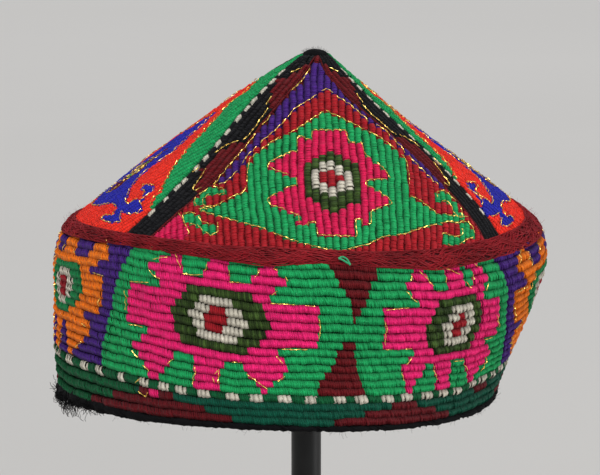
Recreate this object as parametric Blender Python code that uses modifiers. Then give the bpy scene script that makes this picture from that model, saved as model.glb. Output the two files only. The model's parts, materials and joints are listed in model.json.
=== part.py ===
# A four-gored tubeteika skullcap of ribbed, padded embroidery, on a plain round display stand.
# The origin is the middle of the stand's underside, and the hat's front faces -Y.
# Sizes are in millimetres and angles in degrees. Points become metres where they are made.

import math

import bmesh
import bpy
import numpy as np
from mathutils import Matrix, Vector

MM = 0.001

# Driving sizes of the hat
HEM_HEIGHT = 100.0
HAT_MIDDLE_X = -2.5
WALL = 3.5
GAP = 0.4
RIB_DEPTH = 0.8
SMALLEST_FACE = 0.25

# The hat's outer surface: levels above the hem, the sideways lean of the middle there,
# and the distance from that middle in eight directions.
SECTION_COLUMNS = ("level", "lean", "front", "front_right", "right", "back_right",
                   "back", "back_left", "left", "front_left")
SECTIONS = np.array((
    (0.0, -9.5, 99.0, 95.0, 86.5, 93.0, 96.0, 93.0, 87.0, 95.5),
    (13.5, -8.0, 99.5, 96.0, 90.5, 94.0, 96.5, 94.0, 90.0, 96.5),
    (36.0, -3.0, 98.0, 97.0, 95.5, 96.0, 97.0, 96.0, 95.0, 97.0),
    (60.5, 0.0, 96.5, 98.0, 97.5, 97.0, 96.0, 96.5, 96.5, 97.5),
    (65.5, 0.5, 94.8, 96.3, 95.0, 95.0, 94.8, 95.5, 95.0, 96.0),
    (67.5, 0.5, 93.0, 94.5, 92.5, 94.0, 93.0, 94.5, 93.0, 94.5),
    (78.0, 1.0, 81.0, 85.0, 80.5, 84.5, 81.0, 84.5, 80.0, 85.0),
    (88.2, 1.2, 68.0, 73.0, 67.5, 72.5, 68.0, 72.5, 66.5, 73.0),
    (98.6, 1.6, 54.0, 59.5, 53.5, 58.5, 54.0, 58.5, 52.5, 59.5),
    (108.9, 2.2, 40.0, 45.0, 39.5, 44.5, 40.0, 44.5, 38.5, 45.0),
    (119.3, 3.0, 27.0, 30.5, 26.5, 30.0, 27.0, 30.0, 26.0, 30.5),
    (129.6, 4.4, 13.0, 15.0, 13.0, 15.0, 13.0, 15.0, 12.5, 15.0),
    (136.5, 6.5, 4.0, 4.5, 4.0, 4.5, 4.0, 4.5, 4.0, 4.5),
))

# How far the soft hat rises or sags at a level, in the same eight directions.
LIFT_COLUMNS = ("level",) + SECTION_COLUMNS[2:]
LIFTS = np.array((
    (0.0, 2.0, -0.5, 1.5, 1.0, 0.0, 0.0, 0.0, 2.5),
    (13.5, 0.0, -1.0, 1.5, 1.0, 1.0, 2.0, 4.0, 4.5),
    (66.0, 0.0, -2.0, 0.5, 3.5, 1.5, -1.0, 0.0, 3.5),
    (90.0, 0.0, 0.0, 0.0, 1.0, 0.0, 0.0, 0.0, 0.0),
    (136.5, 0.0, 0.0, 0.0, 0.0, 0.0, 0.0, 0.0, 0.0),
))

# Where the four ridges run, as angles at levels of the crown, and how wide their strips are.
RIDGE_COLUMNS = ("level", "strip_width", "front_left", "front_right", "back_right", "back_left")
RIDGES = np.array((
    (67.5, 14.5, -48.0, 48.0, 134.0, 226.0),
    (95.0, 14.0, -41.0, 48.0, 134.0, 226.0),
    (120.0, 11.5, -37.5, 44.5, 137.0, 225.0),
    (136.5, 7.5, -37.0, 42.0, 138.0, 224.0),
))

# The band: its levels, the number of ribs round it, and its steps round the head.
BAND_LOW = 2.8
BAND_HIGH = 65.6
BAND_RIBS = 20
BAND_STEPS = 33
BAND_INNER_ROWS = 4

# The crown: the levels of its pieces, and the width of the ribs that run up them.
CROWN_LOW = 68.2
CROWN_HIGH = 132.8
CROWN_LEVELS = (84.0, 100.0, 116.0)
CROWN_RIB = 2.75

# Each gore: the angle of its middle line, and the ridges at its two sides.
GORE_COLUMNS = ("name", "middle", "left_ridge", "right_ridge", "colour")
GORES = (
    ("crown_panel_front", 3.0, "front_left", "front_right", (0.36, 0.02, 0.03)),
    ("crown_panel_right", 91.0, "front_right", "back_right", (0.80, 0.06, 0.02)),
    ("crown_panel_back", 180.0, "back_right", "back_left", (0.36, 0.02, 0.03)),
    ("crown_panel_left", 269.0, "back_left", "front_left", (0.80, 0.06, 0.02)),
)

# Each ridge strip: its ribs as parts of its width, from the front or back gore to the side gore.
STRIP_RIBS = (0.09, 0.19, 0.19, 0.19, 0.19, 0.15)
STRIP_LEVELS = (76.0, 84.0, 100.0, 116.0, 126.0)
STRIPS = ("front_left", "front_right", "back_right", "back_left")

# The plait on the seam and the rolled hem, as outlines of level and depth under the surface.
# A negative depth stands out from the hat.
BRAID_STEPS = 40
BRAID_OUTLINE = (
    (64.9, -0.45), (64.6, -1.5), (66.4, -2.6), (69.0, -2.8),
    (71.4, -1.9), (72.0, -0.5), (67.4, -0.6), (66.0, -0.6),
)
HEM_STEPS = 40
HEM_SIDES = 6
HEM_HALF_HEIGHT = 1.2
HEM_HALF_WIDTH = WALL / 2 + 0.5

# The felted tip
CAP_RADIUS = 8.6
CAP_RISE = 3.6
CAP_LEVEL = 133.2

# The stand
BASE_RADIUS = 75.0
BASE_THICKNESS = 6.0
BASE_BEVEL = 1.5
POST_RADIUS = 6.0
REST_LOW = 105.0
REST_HIGH = 123.0
REST_LOW_RADIUS = 36.0
REST_HIGH_RADIUS = 12.0


def between(table, level):
    """The table's row at a level, on a smooth curve through its rows."""
    levels = table[:, 0]
    slopes = np.gradient(table, levels, axis=0)
    upper = int(np.clip(np.searchsorted(levels, level), 1, len(levels) - 1))
    step = levels[upper] - levels[upper - 1]
    t = (level - levels[upper - 1]) / step
    start = (1 + 2 * t) * (1 - t) ** 2 * table[upper - 1] + t * (1 - t) ** 2 * step * slopes[upper - 1]
    end = t * t * (3 - 2 * t) * table[upper] - t * t * (1 - t) * step * slopes[upper]
    return start + end


def around(values, angle):
    """A smooth closed curve through eight values that are 45 degrees apart."""
    turn = np.radians(angle - np.arange(8) * 45.0)
    weights = 1 + 2 * np.cos(turn) + 2 * np.cos(2 * turn) + 2 * np.cos(3 * turn) + np.cos(4 * turn)
    return float(values @ weights) / 8


def mean_radius(level):
    return float(between(SECTIONS, level)[2:].mean())


def outer_point(angle, level):
    """A point of the hat's outer surface, in millimetres."""
    row = between(SECTIONS, level)
    radius = around(row[2:], angle)
    lift = around(between(LIFTS, level)[1:], angle)
    turn = math.radians(angle)
    return Vector((HAT_MIDDLE_X + row[1] + radius * math.sin(turn),
                   -radius * math.cos(turn),
                   HEM_HEIGHT + level + lift))


def hat_point(angle, level, depth):
    """A point at a depth under the outer surface, in metres."""
    point = outer_point(angle, level)
    across = outer_point(angle + 0.5, level) - outer_point(angle - 0.5, level)
    up = outer_point(angle, level + 0.5) - outer_point(angle, level - 0.5)
    return (point - across.cross(up).normalized() * depth) * MM


def add_object(name, mesh_maker, colour, roughness=0.9, metallic=0.0):
    """Makes one named object in the hat's collection, with its own material."""
    mesh = bpy.data.meshes.new(name)
    mesh_maker.to_mesh(mesh)
    mesh_maker.free()
    mesh.shade_smooth()
    mesh.set_sharp_from_angle(angle=math.radians(50))
    material = bpy.data.materials.new(name)
    material.use_nodes = True
    shader = material.node_tree.nodes["Principled BSDF"]
    shader.inputs["Base Color"].default_value = (*colour, 1.0)
    shader.inputs["Roughness"].default_value = roughness
    shader.inputs["Metallic"].default_value = metallic
    mesh.materials.append(material)
    thing = bpy.data.objects.new(name, mesh)
    bpy.data.collections["tubeteika"].objects.link(thing)
    return thing


def add_ring(name, outline, steps, colour):
    """Sweeps a closed outline of level and depth round the hat."""
    count = len(outline)
    maker = bmesh.new()
    bmesh.ops.create_grid(maker, x_segments=steps, y_segments=count, size=1.0)
    for vertex in maker.verts:
        angle = (vertex.co.x + 1) / 2 * 360.0
        level, depth = outline[round((vertex.co.y + 1) / 2 * count) % count]
        vertex.co = hat_point(angle % 360.0, level, depth)
    bmesh.ops.remove_doubles(maker, verts=maker.verts, dist=0.00001)
    bmesh.ops.recalc_face_normals(maker, faces=maker.faces)
    return add_object(name, maker, colour)


def band_outline():
    """The band's cut: ribs down its outer side, and a plain inner side."""
    rib = (BAND_HIGH - BAND_LOW) / BAND_RIBS
    outer = [(BAND_LOW + rib * i / 2, 0.0 if i % 2 else RIB_DEPTH) for i in range(2 * BAND_RIBS + 1)]
    inner = [(float(level), WALL) for level in np.linspace(BAND_HIGH, BAND_LOW, BAND_INNER_ROWS)]
    return outer + inner


def hem_outline():
    turns = [2 * math.pi * i / HEM_SIDES for i in range(HEM_SIDES)]
    return [(HEM_HALF_HEIGHT * (1 + math.cos(turn)), WALL / 2 + HEM_HALF_WIDTH * math.sin(turn))
            for turn in turns]


def cut_lines(maker, direction, places):
    """Cuts the flat sheet along straight lines, square to a direction."""
    for place in places:
        everything = maker.verts[:] + maker.edges[:] + maker.faces[:]
        bmesh.ops.bisect_plane(maker, geom=everything, dist=0.01,
                               plane_co=direction * place, plane_no=direction)


def bend_sheet(name, edges, offsets, levels, angle_at, dip_at, colour):
    """Cuts a flat piece of cloth along its ribs, thickens it and bends it over the hat.

    The flat piece has the place across its ribs along X and the level along Y.
    """
    maker = bmesh.new()
    corners = [(left, level) for level, left, _ in edges]
    corners += [(right, level) for level, _, right in reversed(edges)]
    maker.faces.new([maker.verts.new((x, y, 0.0)) for x, y in corners])
    cut_lines(maker, Vector((0.0, 1.0, 0.0)), levels)
    cut_lines(maker, Vector((1.0, 0.0, 0.0)), offsets)
    bmesh.ops.remove_doubles(maker, verts=maker.verts, dist=SMALLEST_FACE)
    thick = bmesh.ops.extrude_face_region(maker, geom=maker.faces[:])
    inner = {item for item in thick["geom"] if isinstance(item, bmesh.types.BMVert)}
    for vertex in maker.verts:
        offset, level, _ = vertex.co
        depth = WALL if vertex in inner else dip_at(offset)
        vertex.co = hat_point(angle_at(offset, level), level, depth)
    bmesh.ops.recalc_face_normals(maker, faces=maker.faces)
    return add_object(name, maker, colour)


def ridge_value(column, level):
    """A ridge's angle or the strips' width at a level."""
    return float(np.interp(level, RIDGES[:, 0], RIDGES[:, RIDGE_COLUMNS.index(column)]))


def turned(angle, offset, level):
    """The angle reached by going a distance round the hat from another angle."""
    return angle + math.degrees(offset / mean_radius(level))


def add_gore(name, middle, left_ridge, right_ridge, colour):
    """One gore of the crown, up to the strips on both of its ridges."""
    edges = []
    for level in (CROWN_LOW,) + CROWN_LEVELS + (CROWN_HIGH,):
        margin = ridge_value("strip_width", level) / 2 + GAP
        left = (ridge_value(left_ridge, level) - middle + 180) % 360 - 180
        right = (ridge_value(right_ridge, level) - middle + 180) % 360 - 180
        radius = mean_radius(level)
        edges.append((level, math.radians(left) * radius + margin, math.radians(right) * radius - margin))
    half_count = int(max(-edges[0][1], edges[0][2]) / CROWN_RIB) + 1
    offsets = [CROWN_RIB / 2 * i for i in range(-2 * half_count, 2 * half_count + 1)]

    def dip_at(offset):
        return RIB_DEPTH / 2 * (1 + math.cos(2 * math.pi * offset / CROWN_RIB))

    def angle_at(offset, level):
        return turned(middle, offset, level)

    return bend_sheet(name, edges, offsets, CROWN_LEVELS, angle_at, dip_at, colour)


def add_strip(ridge):
    """The ribbed strip along one ridge, with its narrow edge rib towards the front or back gore."""
    side = -1.0 if ridge in ("front_left", "back_right") else 1.0
    seams = 0.5 - np.concatenate(([0.0], np.cumsum(STRIP_RIBS)))
    crests = (seams[:-1] + seams[1:]) / 2
    scale = ridge_value("strip_width", CROWN_LOW)
    edges = [(level, -scale / 2, scale / 2) for level in (CROWN_LOW,) + STRIP_LEVELS + (CROWN_HIGH,)]
    offsets = [-side * scale * place for place in (*seams[1:-1], *crests)]

    def dip_at(offset):
        return RIB_DEPTH if np.abs(crests + side * offset / scale).min() > 0.01 else 0.0

    def angle_at(offset, level):
        width = ridge_value("strip_width", level)
        return turned(ridge_value(ridge, level), offset / scale * width, level)

    return bend_sheet("ridge_strip_" + ridge, edges, offsets, STRIP_LEVELS, angle_at, dip_at,
                      (0.02, 0.02, 0.03))


def add_cap():
    """The felted tip: half a ball, flattened, over the upper ends of the gores and strips."""
    maker = bmesh.new()
    bmesh.ops.create_uvsphere(maker, u_segments=20, v_segments=10, radius=1.0)
    everything = maker.verts[:] + maker.edges[:] + maker.faces[:]
    bmesh.ops.bisect_plane(maker, geom=everything, dist=0.0001, plane_co=(0, 0, 0),
                           plane_no=(0, 0, 1), clear_inner=True)
    rim = [edge for edge in maker.edges if edge.is_boundary]
    bmesh.ops.contextual_create(maker, geom=rim)
    lean = between(SECTIONS, CAP_LEVEL)[1]
    place = Vector((HAT_MIDDLE_X + lean, 0.0, HEM_HEIGHT + CAP_LEVEL)) * MM
    size = Matrix.Diagonal((CAP_RADIUS * MM, CAP_RADIUS * MM, CAP_RISE * MM, 1.0))
    bmesh.ops.transform(maker, matrix=Matrix.Translation(place) @ size, verts=maker.verts)
    bmesh.ops.recalc_face_normals(maker, faces=maker.faces)
    return add_object("apex_cap", maker, (0.012, 0.012, 0.015))


def add_turned(name, low, high, low_radius, high_radius, sides):
    """A plain round piece of the stand between two heights."""
    maker = bmesh.new()
    place = Matrix.Translation((0.0, 0.0, (low + high) / 2 * MM))
    bmesh.ops.create_cone(maker, cap_ends=True, segments=sides, radius1=low_radius * MM,
                          radius2=high_radius * MM, depth=(high - low) * MM, matrix=place)
    return add_object(name, maker, (0.01, 0.01, 0.012), roughness=0.35)


def add_stand():
    base = add_turned("stand_base", 0.0, BASE_THICKNESS, BASE_RADIUS, BASE_RADIUS, 48)
    edge = base.modifiers.new("rounded edge", "BEVEL")
    edge.width = BASE_BEVEL * MM
    edge.segments = 1
    edge.limit_method = "ANGLE"
    post_top = HEM_HEIGHT + REST_LOW - GAP
    add_turned("stand_post", BASE_THICKNESS + GAP, post_top, POST_RADIUS, POST_RADIUS, 24)
    add_turned("stand_rest", HEM_HEIGHT + REST_LOW, HEM_HEIGHT + REST_HIGH,
               REST_LOW_RADIUS, REST_HIGH_RADIUS, 32)


def build():
    for thing in list(bpy.data.objects):
        bpy.data.objects.remove(thing, do_unlink=True)
    bpy.context.scene.collection.children.link(bpy.data.collections.new("tubeteika"))
    add_ring("band", band_outline(), BAND_STEPS, (0.01, 0.30, 0.10))
    add_ring("hem_binding", hem_outline(), HEM_STEPS, (0.012, 0.012, 0.015))
    add_ring("seam_braid", BRAID_OUTLINE, BRAID_STEPS, (0.20, 0.01, 0.02))
    for gore in GORES:
        add_gore(*gore)
    for ridge in STRIPS:
        add_strip(ridge)
    add_cap()
    add_stand()


build()
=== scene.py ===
# A four-gored tubeteika skullcap of ribbed wool and silk embroidery, on a plain round stand.
# Blender works in metres. The sizes written here are millimetres and degrees, unless a note says so.

import json
import math

import bmesh
import bpy
import numpy as np
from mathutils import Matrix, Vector

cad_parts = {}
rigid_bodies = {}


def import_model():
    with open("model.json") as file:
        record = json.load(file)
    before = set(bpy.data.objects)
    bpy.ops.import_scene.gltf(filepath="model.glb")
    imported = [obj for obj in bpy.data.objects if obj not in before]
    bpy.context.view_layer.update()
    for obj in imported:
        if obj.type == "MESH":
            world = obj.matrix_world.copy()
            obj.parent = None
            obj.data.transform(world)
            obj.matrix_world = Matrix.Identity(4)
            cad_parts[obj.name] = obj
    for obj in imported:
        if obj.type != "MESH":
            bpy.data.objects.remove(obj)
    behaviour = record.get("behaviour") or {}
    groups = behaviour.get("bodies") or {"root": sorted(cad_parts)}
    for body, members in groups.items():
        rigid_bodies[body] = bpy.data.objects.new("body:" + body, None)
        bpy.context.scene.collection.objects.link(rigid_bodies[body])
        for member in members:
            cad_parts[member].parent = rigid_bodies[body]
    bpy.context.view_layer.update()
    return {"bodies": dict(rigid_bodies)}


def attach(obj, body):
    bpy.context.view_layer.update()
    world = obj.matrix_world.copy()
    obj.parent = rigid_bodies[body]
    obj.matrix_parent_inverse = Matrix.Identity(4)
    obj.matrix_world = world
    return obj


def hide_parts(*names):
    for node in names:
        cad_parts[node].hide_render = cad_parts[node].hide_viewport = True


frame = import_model()
hatBody = next(iter(frame["bodies"]))
mm = 0.001
print("frame loaded, body", hatBody)


# Camera, floor and light

view = {
    "target": (-0.0025, 0.0, 0.1615),   # metres
    "distance": 2.0,                    # metres
    "azimuth": -4.5,
    "elevation": 9.0,
    "lens": 300.0,
}
studio = {
    "floorHalf": 40.0,                  # metres
    "floorColour": (0.74, 0.72, 0.69),
    "skyColour": (0.92, 0.95, 1.0),
    "skyStrength": 0.32,
    "floorPaintedShade": ((0.3, 1.9), (0.85, 1.0)),           # metres behind the hat, and the floor's painted shade there
    "softSun": ((-0.35, -0.55, 1.0), 30.0, 1.75),     # where from, how wide in degrees, and its strength
    "lights": (                         # name, place, size in metres, and watts
        ("overhead light", (-0.15, -0.55, 1.5), 0.8, 4.0),
        ("front light", (0.5, -2.2, 0.9), 0.9, 3.0),
        ("right light", (2.0, -0.6, 0.4), 0.8, 17.0),
    ),
}


def aim(thing, target):
    thing.rotation_euler = (Vector(target) - thing.location).to_track_quat("-Z", "Y").to_euler()


def addCamera():
    camera = bpy.data.objects.new("camera", bpy.data.cameras.new("camera"))
    camera.data.lens = view["lens"]
    camera.data.sensor_width = 36.0
    camera.data.clip_end = 200.0
    turn = math.radians(view["azimuth"])
    rise = math.radians(view["elevation"])
    outward = Vector((math.sin(turn) * math.cos(rise), -math.cos(turn) * math.cos(rise), math.sin(rise)))
    camera.location = Vector(view["target"]) + view["distance"] * outward
    aim(camera, view["target"])
    bpy.context.scene.collection.objects.link(camera)
    bpy.context.scene.camera = camera


def addStudio():
    half = studio["floorHalf"]
    mesh = bpy.data.meshes.new("floor")
    corners = [(x * half, y * half, 0.0) for x, y in ((-1, -1), (1, -1), (1, 1), (-1, 1))]
    mesh.from_pydata(corners, [], [(0, 1, 2, 3)])
    floor = bpy.data.objects.new("floor", mesh)
    bpy.context.scene.collection.objects.link(floor)
    mesh.materials.append(floorMaterial())
    world = bpy.data.worlds.new("studio")
    world.use_nodes = True
    sky = world.node_tree.nodes["Background"]
    sky.inputs["Color"].default_value = (*studio["skyColour"], 1.0)
    sky.inputs["Strength"].default_value = studio["skyStrength"]
    bpy.context.scene.world = world
    lights = [(name, "AREA", place, size, watts) for name, place, size, watts in studio["lights"]]
    place, spread, strength = studio["softSun"]
    lights.append(("soft sun", "SUN", place, math.radians(spread), strength))
    for name, kind, place, size, strength in lights:
        data = bpy.data.lights.new(name, kind)
        setattr(data, "size" if kind == "AREA" else "angle", size)
        data.energy = strength
        light = bpy.data.objects.new(name, data)
        light.location = place
        aim(light, view["target"])
        bpy.context.scene.collection.objects.link(light)
    bpy.context.scene.view_settings.view_transform = "Standard"


# Node helpers

def put(tree, kind, inputs=None, **settings):
    # Adds a node, sets its options, fills or links its inputs, and gives back its outputs.
    node = tree.nodes.new(kind)
    for option, value in settings.items():
        setattr(node, option, value)
    for socket, value in (inputs or {}).items():
        if isinstance(value, bpy.types.NodeSocket):
            tree.links.new(value, node.inputs[socket])
        else:
            node.inputs[socket].default_value = value
    return node.outputs


def startMaterial(name, **sockets):
    material = bpy.data.materials.new(name)
    material.use_nodes = True
    tree = material.node_tree
    shader = tree.nodes["Principled BSDF"]
    for socket, value in sockets.items():
        shader.inputs[socket.replace("_", " ")].default_value = value
    return material, tree, shader


def linearColour(colour):
    share = np.array(colour) / 255.0
    return np.where(share <= 0.04045, share / 12.92, ((share + 0.055) / 1.055) ** 2.4)


def attribute(tree, name):
    return put(tree, "ShaderNodeAttribute", attribute_name=name, attribute_type="GEOMETRY")


def calculated(tree, operation, first, second=0.0):
    return put(tree, "ShaderNodeMath", {0: first, 1: second}, operation=operation)[0]


def rangeOf(tree, value, low, high, newLow, newHigh):
    return put(tree, "ShaderNodeMapRange", {"Value": value, "From Min": low, "From Max": high,
                                            "To Min": newLow, "To Max": newHigh})[0]


def objectPlace(tree):
    return put(tree, "ShaderNodeTexCoord")["Object"]


def objectNoise(tree, scale, detail=3.0, roughness=0.55):
    return put(tree, "ShaderNodeTexNoise", {"Vector": objectPlace(tree), "Scale": scale, "Detail": detail,
                                            "Roughness": roughness})[0]


def wave(tree, place, scale, distortion, detail=2.0, detailScale=1.0, **settings):
    return put(tree, "ShaderNodeTexWave", {
        "Vector": place, "Scale": scale, "Distortion": distortion, "Detail": detail,
        "Detail Scale": detailScale}, **settings)[0]


def mottle(tree, scale, low, high, detail=3.0, roughness=0.55, reach=0.2):
    # Noise spread between two values. A wide reach makes it softer.
    noise = objectNoise(tree, scale, detail, roughness)
    return rangeOf(tree, noise, 0.5 - reach, 0.5 + reach, low, high)


def tint(tree, shader, colour, shade):
    scaled = put(tree, "ShaderNodeVectorMath", {0: colour, "Scale": shade}, operation="SCALE")[0]
    tree.links.new(scaled, shader.inputs["Base Color"])


def bumped(tree, shader, height, strength, distance):
    bump = put(tree, "ShaderNodeBump", {"Height": height, "Strength": strength, "Distance": distance})[0]
    tree.links.new(bump, shader.inputs["Normal"])


# Materials. Distances in them are metres, and scales are per metre.

def floorMaterial():
    material, tree, shader = startMaterial("pale floor", Roughness=0.95)
    depth = put(tree, "ShaderNodeSeparateXYZ", {"Vector": objectPlace(tree)})["Y"]
    # painted shade: the floor darker near the hat, paler further back
    (near, far), (dark, full) = studio["floorPaintedShade"]
    fall = rangeOf(tree, depth, near, far, dark, full)
    shade = calculated(tree, "MULTIPLY", mottle(tree, 1.5, 0.985, 1.015), fall)
    tint(tree, shader, studio["floorColour"], shade)
    return material


def threadMaterial():
    # Embroidery thread: the colour of each stitch, with painted shade that darkens it from the crest down
    # into the valleys between the ribs and a slight painted highlight on the crest, and fine twist.
    material, tree, shader = startMaterial("embroidery thread", Roughness=0.75, Sheen_Weight=0.03,
                                           Sheen_Roughness=0.4, Specular_IOR_Level=0.14)
    # painted shade and highlight across each stitch: the crest is set a little off the arch's middle, so one
    # side of the rib is shaded more than the other
    place = calculated(tree, "SUBTRACT", attribute(tree, "arch")["Fac"], 0.55)
    fromCrest = calculated(tree, "ABSOLUTE", place)
    paintedRibShade = calculated(tree, "POWER", rangeOf(tree, fromCrest, 0.05, 0.5, 1.06, 0.42), 1.4)
    fleck = mottle(tree, 900.0, 0.86, 1.14, 4.0, 0.7, 0.25)
    tint(tree, shader, attribute(tree, "threadColour")["Color"], calculated(tree, "MULTIPLY", paintedRibShade, fleck))
    twist = wave(tree, objectPlace(tree), 800.0, 3.0, 2.0, 1.5, bands_direction="DIAGONAL")
    bumped(tree, shader, twist, 0.45, 0.00008)
    return material


def yarnMaterial(name, colour, spread, sheen=0.04):
    # Woolly yarn, uneven in colour along its length and between strands.
    material, tree, shader = startMaterial(name, Roughness=0.9, Sheen_Weight=sheen, Sheen_Roughness=0.5,
                                           Specular_IOR_Level=0.1)
    wide = mottle(tree, 90.0, 1.0 - spread, 1.0 + spread)
    fine = mottle(tree, 1400.0, 0.7, 1.3, 3.0, 0.7, 0.25)
    tint(tree, shader, linearColour(colour), calculated(tree, "MULTIPLY", wide, fine))
    bumped(tree, shader, objectNoise(tree, 2500.0, 4.0, 0.7), 0.6, 0.00012)
    return material


def clothMaterial(name, colour, weave):
    # Plain cotton, with a woven bump of crossing threads.
    material, tree, shader = startMaterial(name, Roughness=0.92, Sheen_Weight=0.2)
    cross = calculated(tree, "ADD", *(wave(tree, objectPlace(tree), weave, 0.6, bands_direction=direction)
                                      for direction in ("DIAGONAL", "Z")))
    shade = calculated(tree, "MULTIPLY", mottle(tree, 25.0, 0.85, 1.1, 4.0),
                       rangeOf(tree, cross, 0.0, 2.0, 0.85, 1.08))
    tint(tree, shader, linearColour(colour), shade)
    bumped(tree, shader, cross, 0.5, 0.00015)
    return material


def goldMaterial():
    material, tree, shader = startMaterial("gold lurex", Metallic=0.9, Base_Color=(1.0, 0.7, 0.17, 1.0))
    tree.links.new(mottle(tree, 700.0, 0.15, 0.42), shader.inputs["Roughness"])
    bumped(tree, shader, objectNoise(tree, 1800.0), 0.5, 0.00005)
    return material


def steelMaterial():
    material, tree, shader = startMaterial("black enamelled steel", Metallic=0.2, Specular_IOR_Level=0.4)
    tint(tree, shader, linearColour((15, 16, 17)), mottle(tree, 400.0, 0.85, 1.2, 5.0, 0.6))
    tree.links.new(mottle(tree, 60.0, 0.32, 0.48), shader.inputs["Roughness"])
    bumped(tree, shader, objectNoise(tree, 1200.0), 0.15, 0.00005)
    return material


def woodMaterial():
    material, tree, shader = startMaterial("stained wood", Roughness=0.55)
    place = put(tree, "ShaderNodeMapping", {"Vector": objectPlace(tree), "Scale": (160.0, 40.0, 160.0)})[0]
    grain = wave(tree, place, 0.35, 4.0, 3.0, wave_type="RINGS", rings_direction="Y")
    ramp = put(tree, "ShaderNodeValToRGB", {"Fac": grain})[0]
    for stop, colour in zip(ramp.node.color_ramp.elements, ((46, 30, 20), (92, 62, 40))):
        stop.color = (*linearColour(colour), 1.0)
    tree.links.new(ramp, shader.inputs["Base Color"])
    bumped(tree, shader, grain, 0.2, 0.0002)
    return material


# The hat's surface, as in the CAD model

hatShape = {
    "hemHeight": 100.0,
    "middleX": -2.5,
    "wall": 3.5,
    # level above the hem, sideways lean, then the distance out at each 45 degrees from the front
    "sections": np.array((
        (0.0, -9.5, 99.0, 95.0, 86.5, 93.0, 96.0, 93.0, 87.0, 95.5),
        (13.5, -8.0, 99.5, 96.0, 90.5, 94.0, 96.5, 94.0, 90.0, 96.5),
        (36.0, -3.0, 98.0, 97.0, 95.5, 96.0, 97.0, 96.0, 95.0, 97.0),
        (60.5, 0.0, 96.5, 98.0, 97.5, 97.0, 96.0, 96.5, 96.5, 97.5),
        (65.5, 0.5, 94.8, 96.3, 95.0, 95.0, 94.8, 95.5, 95.0, 96.0),
        (67.5, 0.5, 93.0, 94.5, 92.5, 94.0, 93.0, 94.5, 93.0, 94.5),
        (78.0, 1.0, 81.0, 85.0, 80.5, 84.5, 81.0, 84.5, 80.0, 85.0),
        (88.2, 1.2, 68.0, 73.0, 67.5, 72.5, 68.0, 72.5, 66.5, 73.0),
        (98.6, 1.6, 54.0, 59.5, 53.5, 58.5, 54.0, 58.5, 52.5, 59.5),
        (108.9, 2.2, 40.0, 45.0, 39.5, 44.5, 40.0, 44.5, 38.5, 45.0),
        (119.3, 3.0, 27.0, 30.5, 26.5, 30.0, 27.0, 30.0, 26.0, 30.5),
        (129.6, 4.4, 13.0, 15.0, 13.0, 15.0, 13.0, 15.0, 12.5, 15.0),
        (136.5, 6.5, 4.0, 4.5, 4.0, 4.5, 4.0, 4.5, 4.0, 4.5))),
    # level, then how far the soft hat rises or sags in the same eight directions
    "lifts": np.array((
        (0.0, 2.0, -0.5, 1.5, 1.0, 0.0, 0.0, 0.0, 2.5),
        (13.5, 0.0, -1.0, 1.5, 1.0, 1.0, 2.0, 4.0, 4.5),
        (66.0, 0.0, -2.0, 0.5, 3.5, 1.5, -1.0, 0.0, 3.5),
        (90.0, 0.0, 0.0, 0.0, 1.0, 0.0, 0.0, 0.0, 0.0),
        (136.5, 0.0, 0.0, 0.0, 0.0, 0.0, 0.0, 0.0, 0.0))),
    # the four ridges: levels, then the angle and the strip's width at each level
    "ridgeLevels": (67.5, 80.0, 95.0, 108.0, 120.0, 129.0, 136.5),
    "ridges": {
        "front_left": ((-48.2, -45.5, -42.0, -41.2, -40.4, -38.5, -37.0),
                       (14.3, 14.2, 14.3, 14.0, 13.6, 12.6, 6.4)),
        "front_right": ((50.3, 50.2, 50.0, 48.0, 42.8, 41.5, 40.0),
                        (11.6, 11.4, 11.4, 11.4, 11.4, 11.0, 6.4)),
        "back_right": ((134.0, 134.0, 134.0, 135.5, 137.0, 137.5, 138.0),
                       (14.0, 14.0, 14.0, 13.4, 12.6, 11.6, 6.4)),
        "back_left": ((226.0, 226.0, 226.0, 225.5, 225.0, 224.5, 224.0),
                      (14.0, 14.0, 14.0, 13.4, 12.6, 11.6, 6.4)),
    },
}


def tableAt(table, levels):
    # The table's rows at some levels, on a smooth curve through them.
    places = table[:, 0]
    slopes = np.gradient(table, places, axis=0)
    upper = np.clip(np.searchsorted(places, levels), 1, len(places) - 1)
    step = (places[upper] - places[upper - 1])[:, None]
    t = (levels - places[upper - 1])[:, None] / step
    start = (1 + 2 * t) * (1 - t) ** 2 * table[upper - 1] + t * (1 - t) ** 2 * step * slopes[upper - 1]
    end = t * t * (3 - 2 * t) * table[upper] - t * t * (1 - t) * step * slopes[upper]
    return start + end


def around(values, angles):
    # A smooth closed curve through eight values, 45 degrees apart.
    turn = np.radians(angles[:, None] - np.arange(8) * 45.0)
    weights = 1 + 2 * np.cos(turn) + 2 * np.cos(2 * turn) + 2 * np.cos(3 * turn) + np.cos(4 * turn)
    return (values * weights).sum(axis=1) / 8


def meanRadius(levels):
    rows = tableAt(hatShape["sections"], np.ravel(levels).astype(float))
    return rows[:, 2:].mean(axis=1).reshape(np.shape(levels))


def outerPoints(angles, levels):
    rows = tableAt(hatShape["sections"], levels)
    radius = around(rows[:, 2:], angles)
    lift = around(tableAt(hatShape["lifts"], levels)[:, 1:], angles)
    turn = np.radians(angles)
    return np.stack((hatShape["middleX"] + rows[:, 1] + radius * np.sin(turn), -radius * np.cos(turn),
                     hatShape["hemHeight"] + levels + lift), axis=1)


def signed(angles):
    return (angles + 180.0) % 360.0 - 180.0


def unit(vectors):
    return vectors / np.linalg.norm(vectors, axis=-1, keepdims=True)


def hatNormals(angles, levels):
    ahead = outerPoints(angles + 0.5, levels) - outerPoints(angles - 0.5, levels)
    up = outerPoints(angles, levels + 0.5) - outerPoints(angles, levels - 0.5)
    return unit(np.cross(ahead, up))


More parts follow.
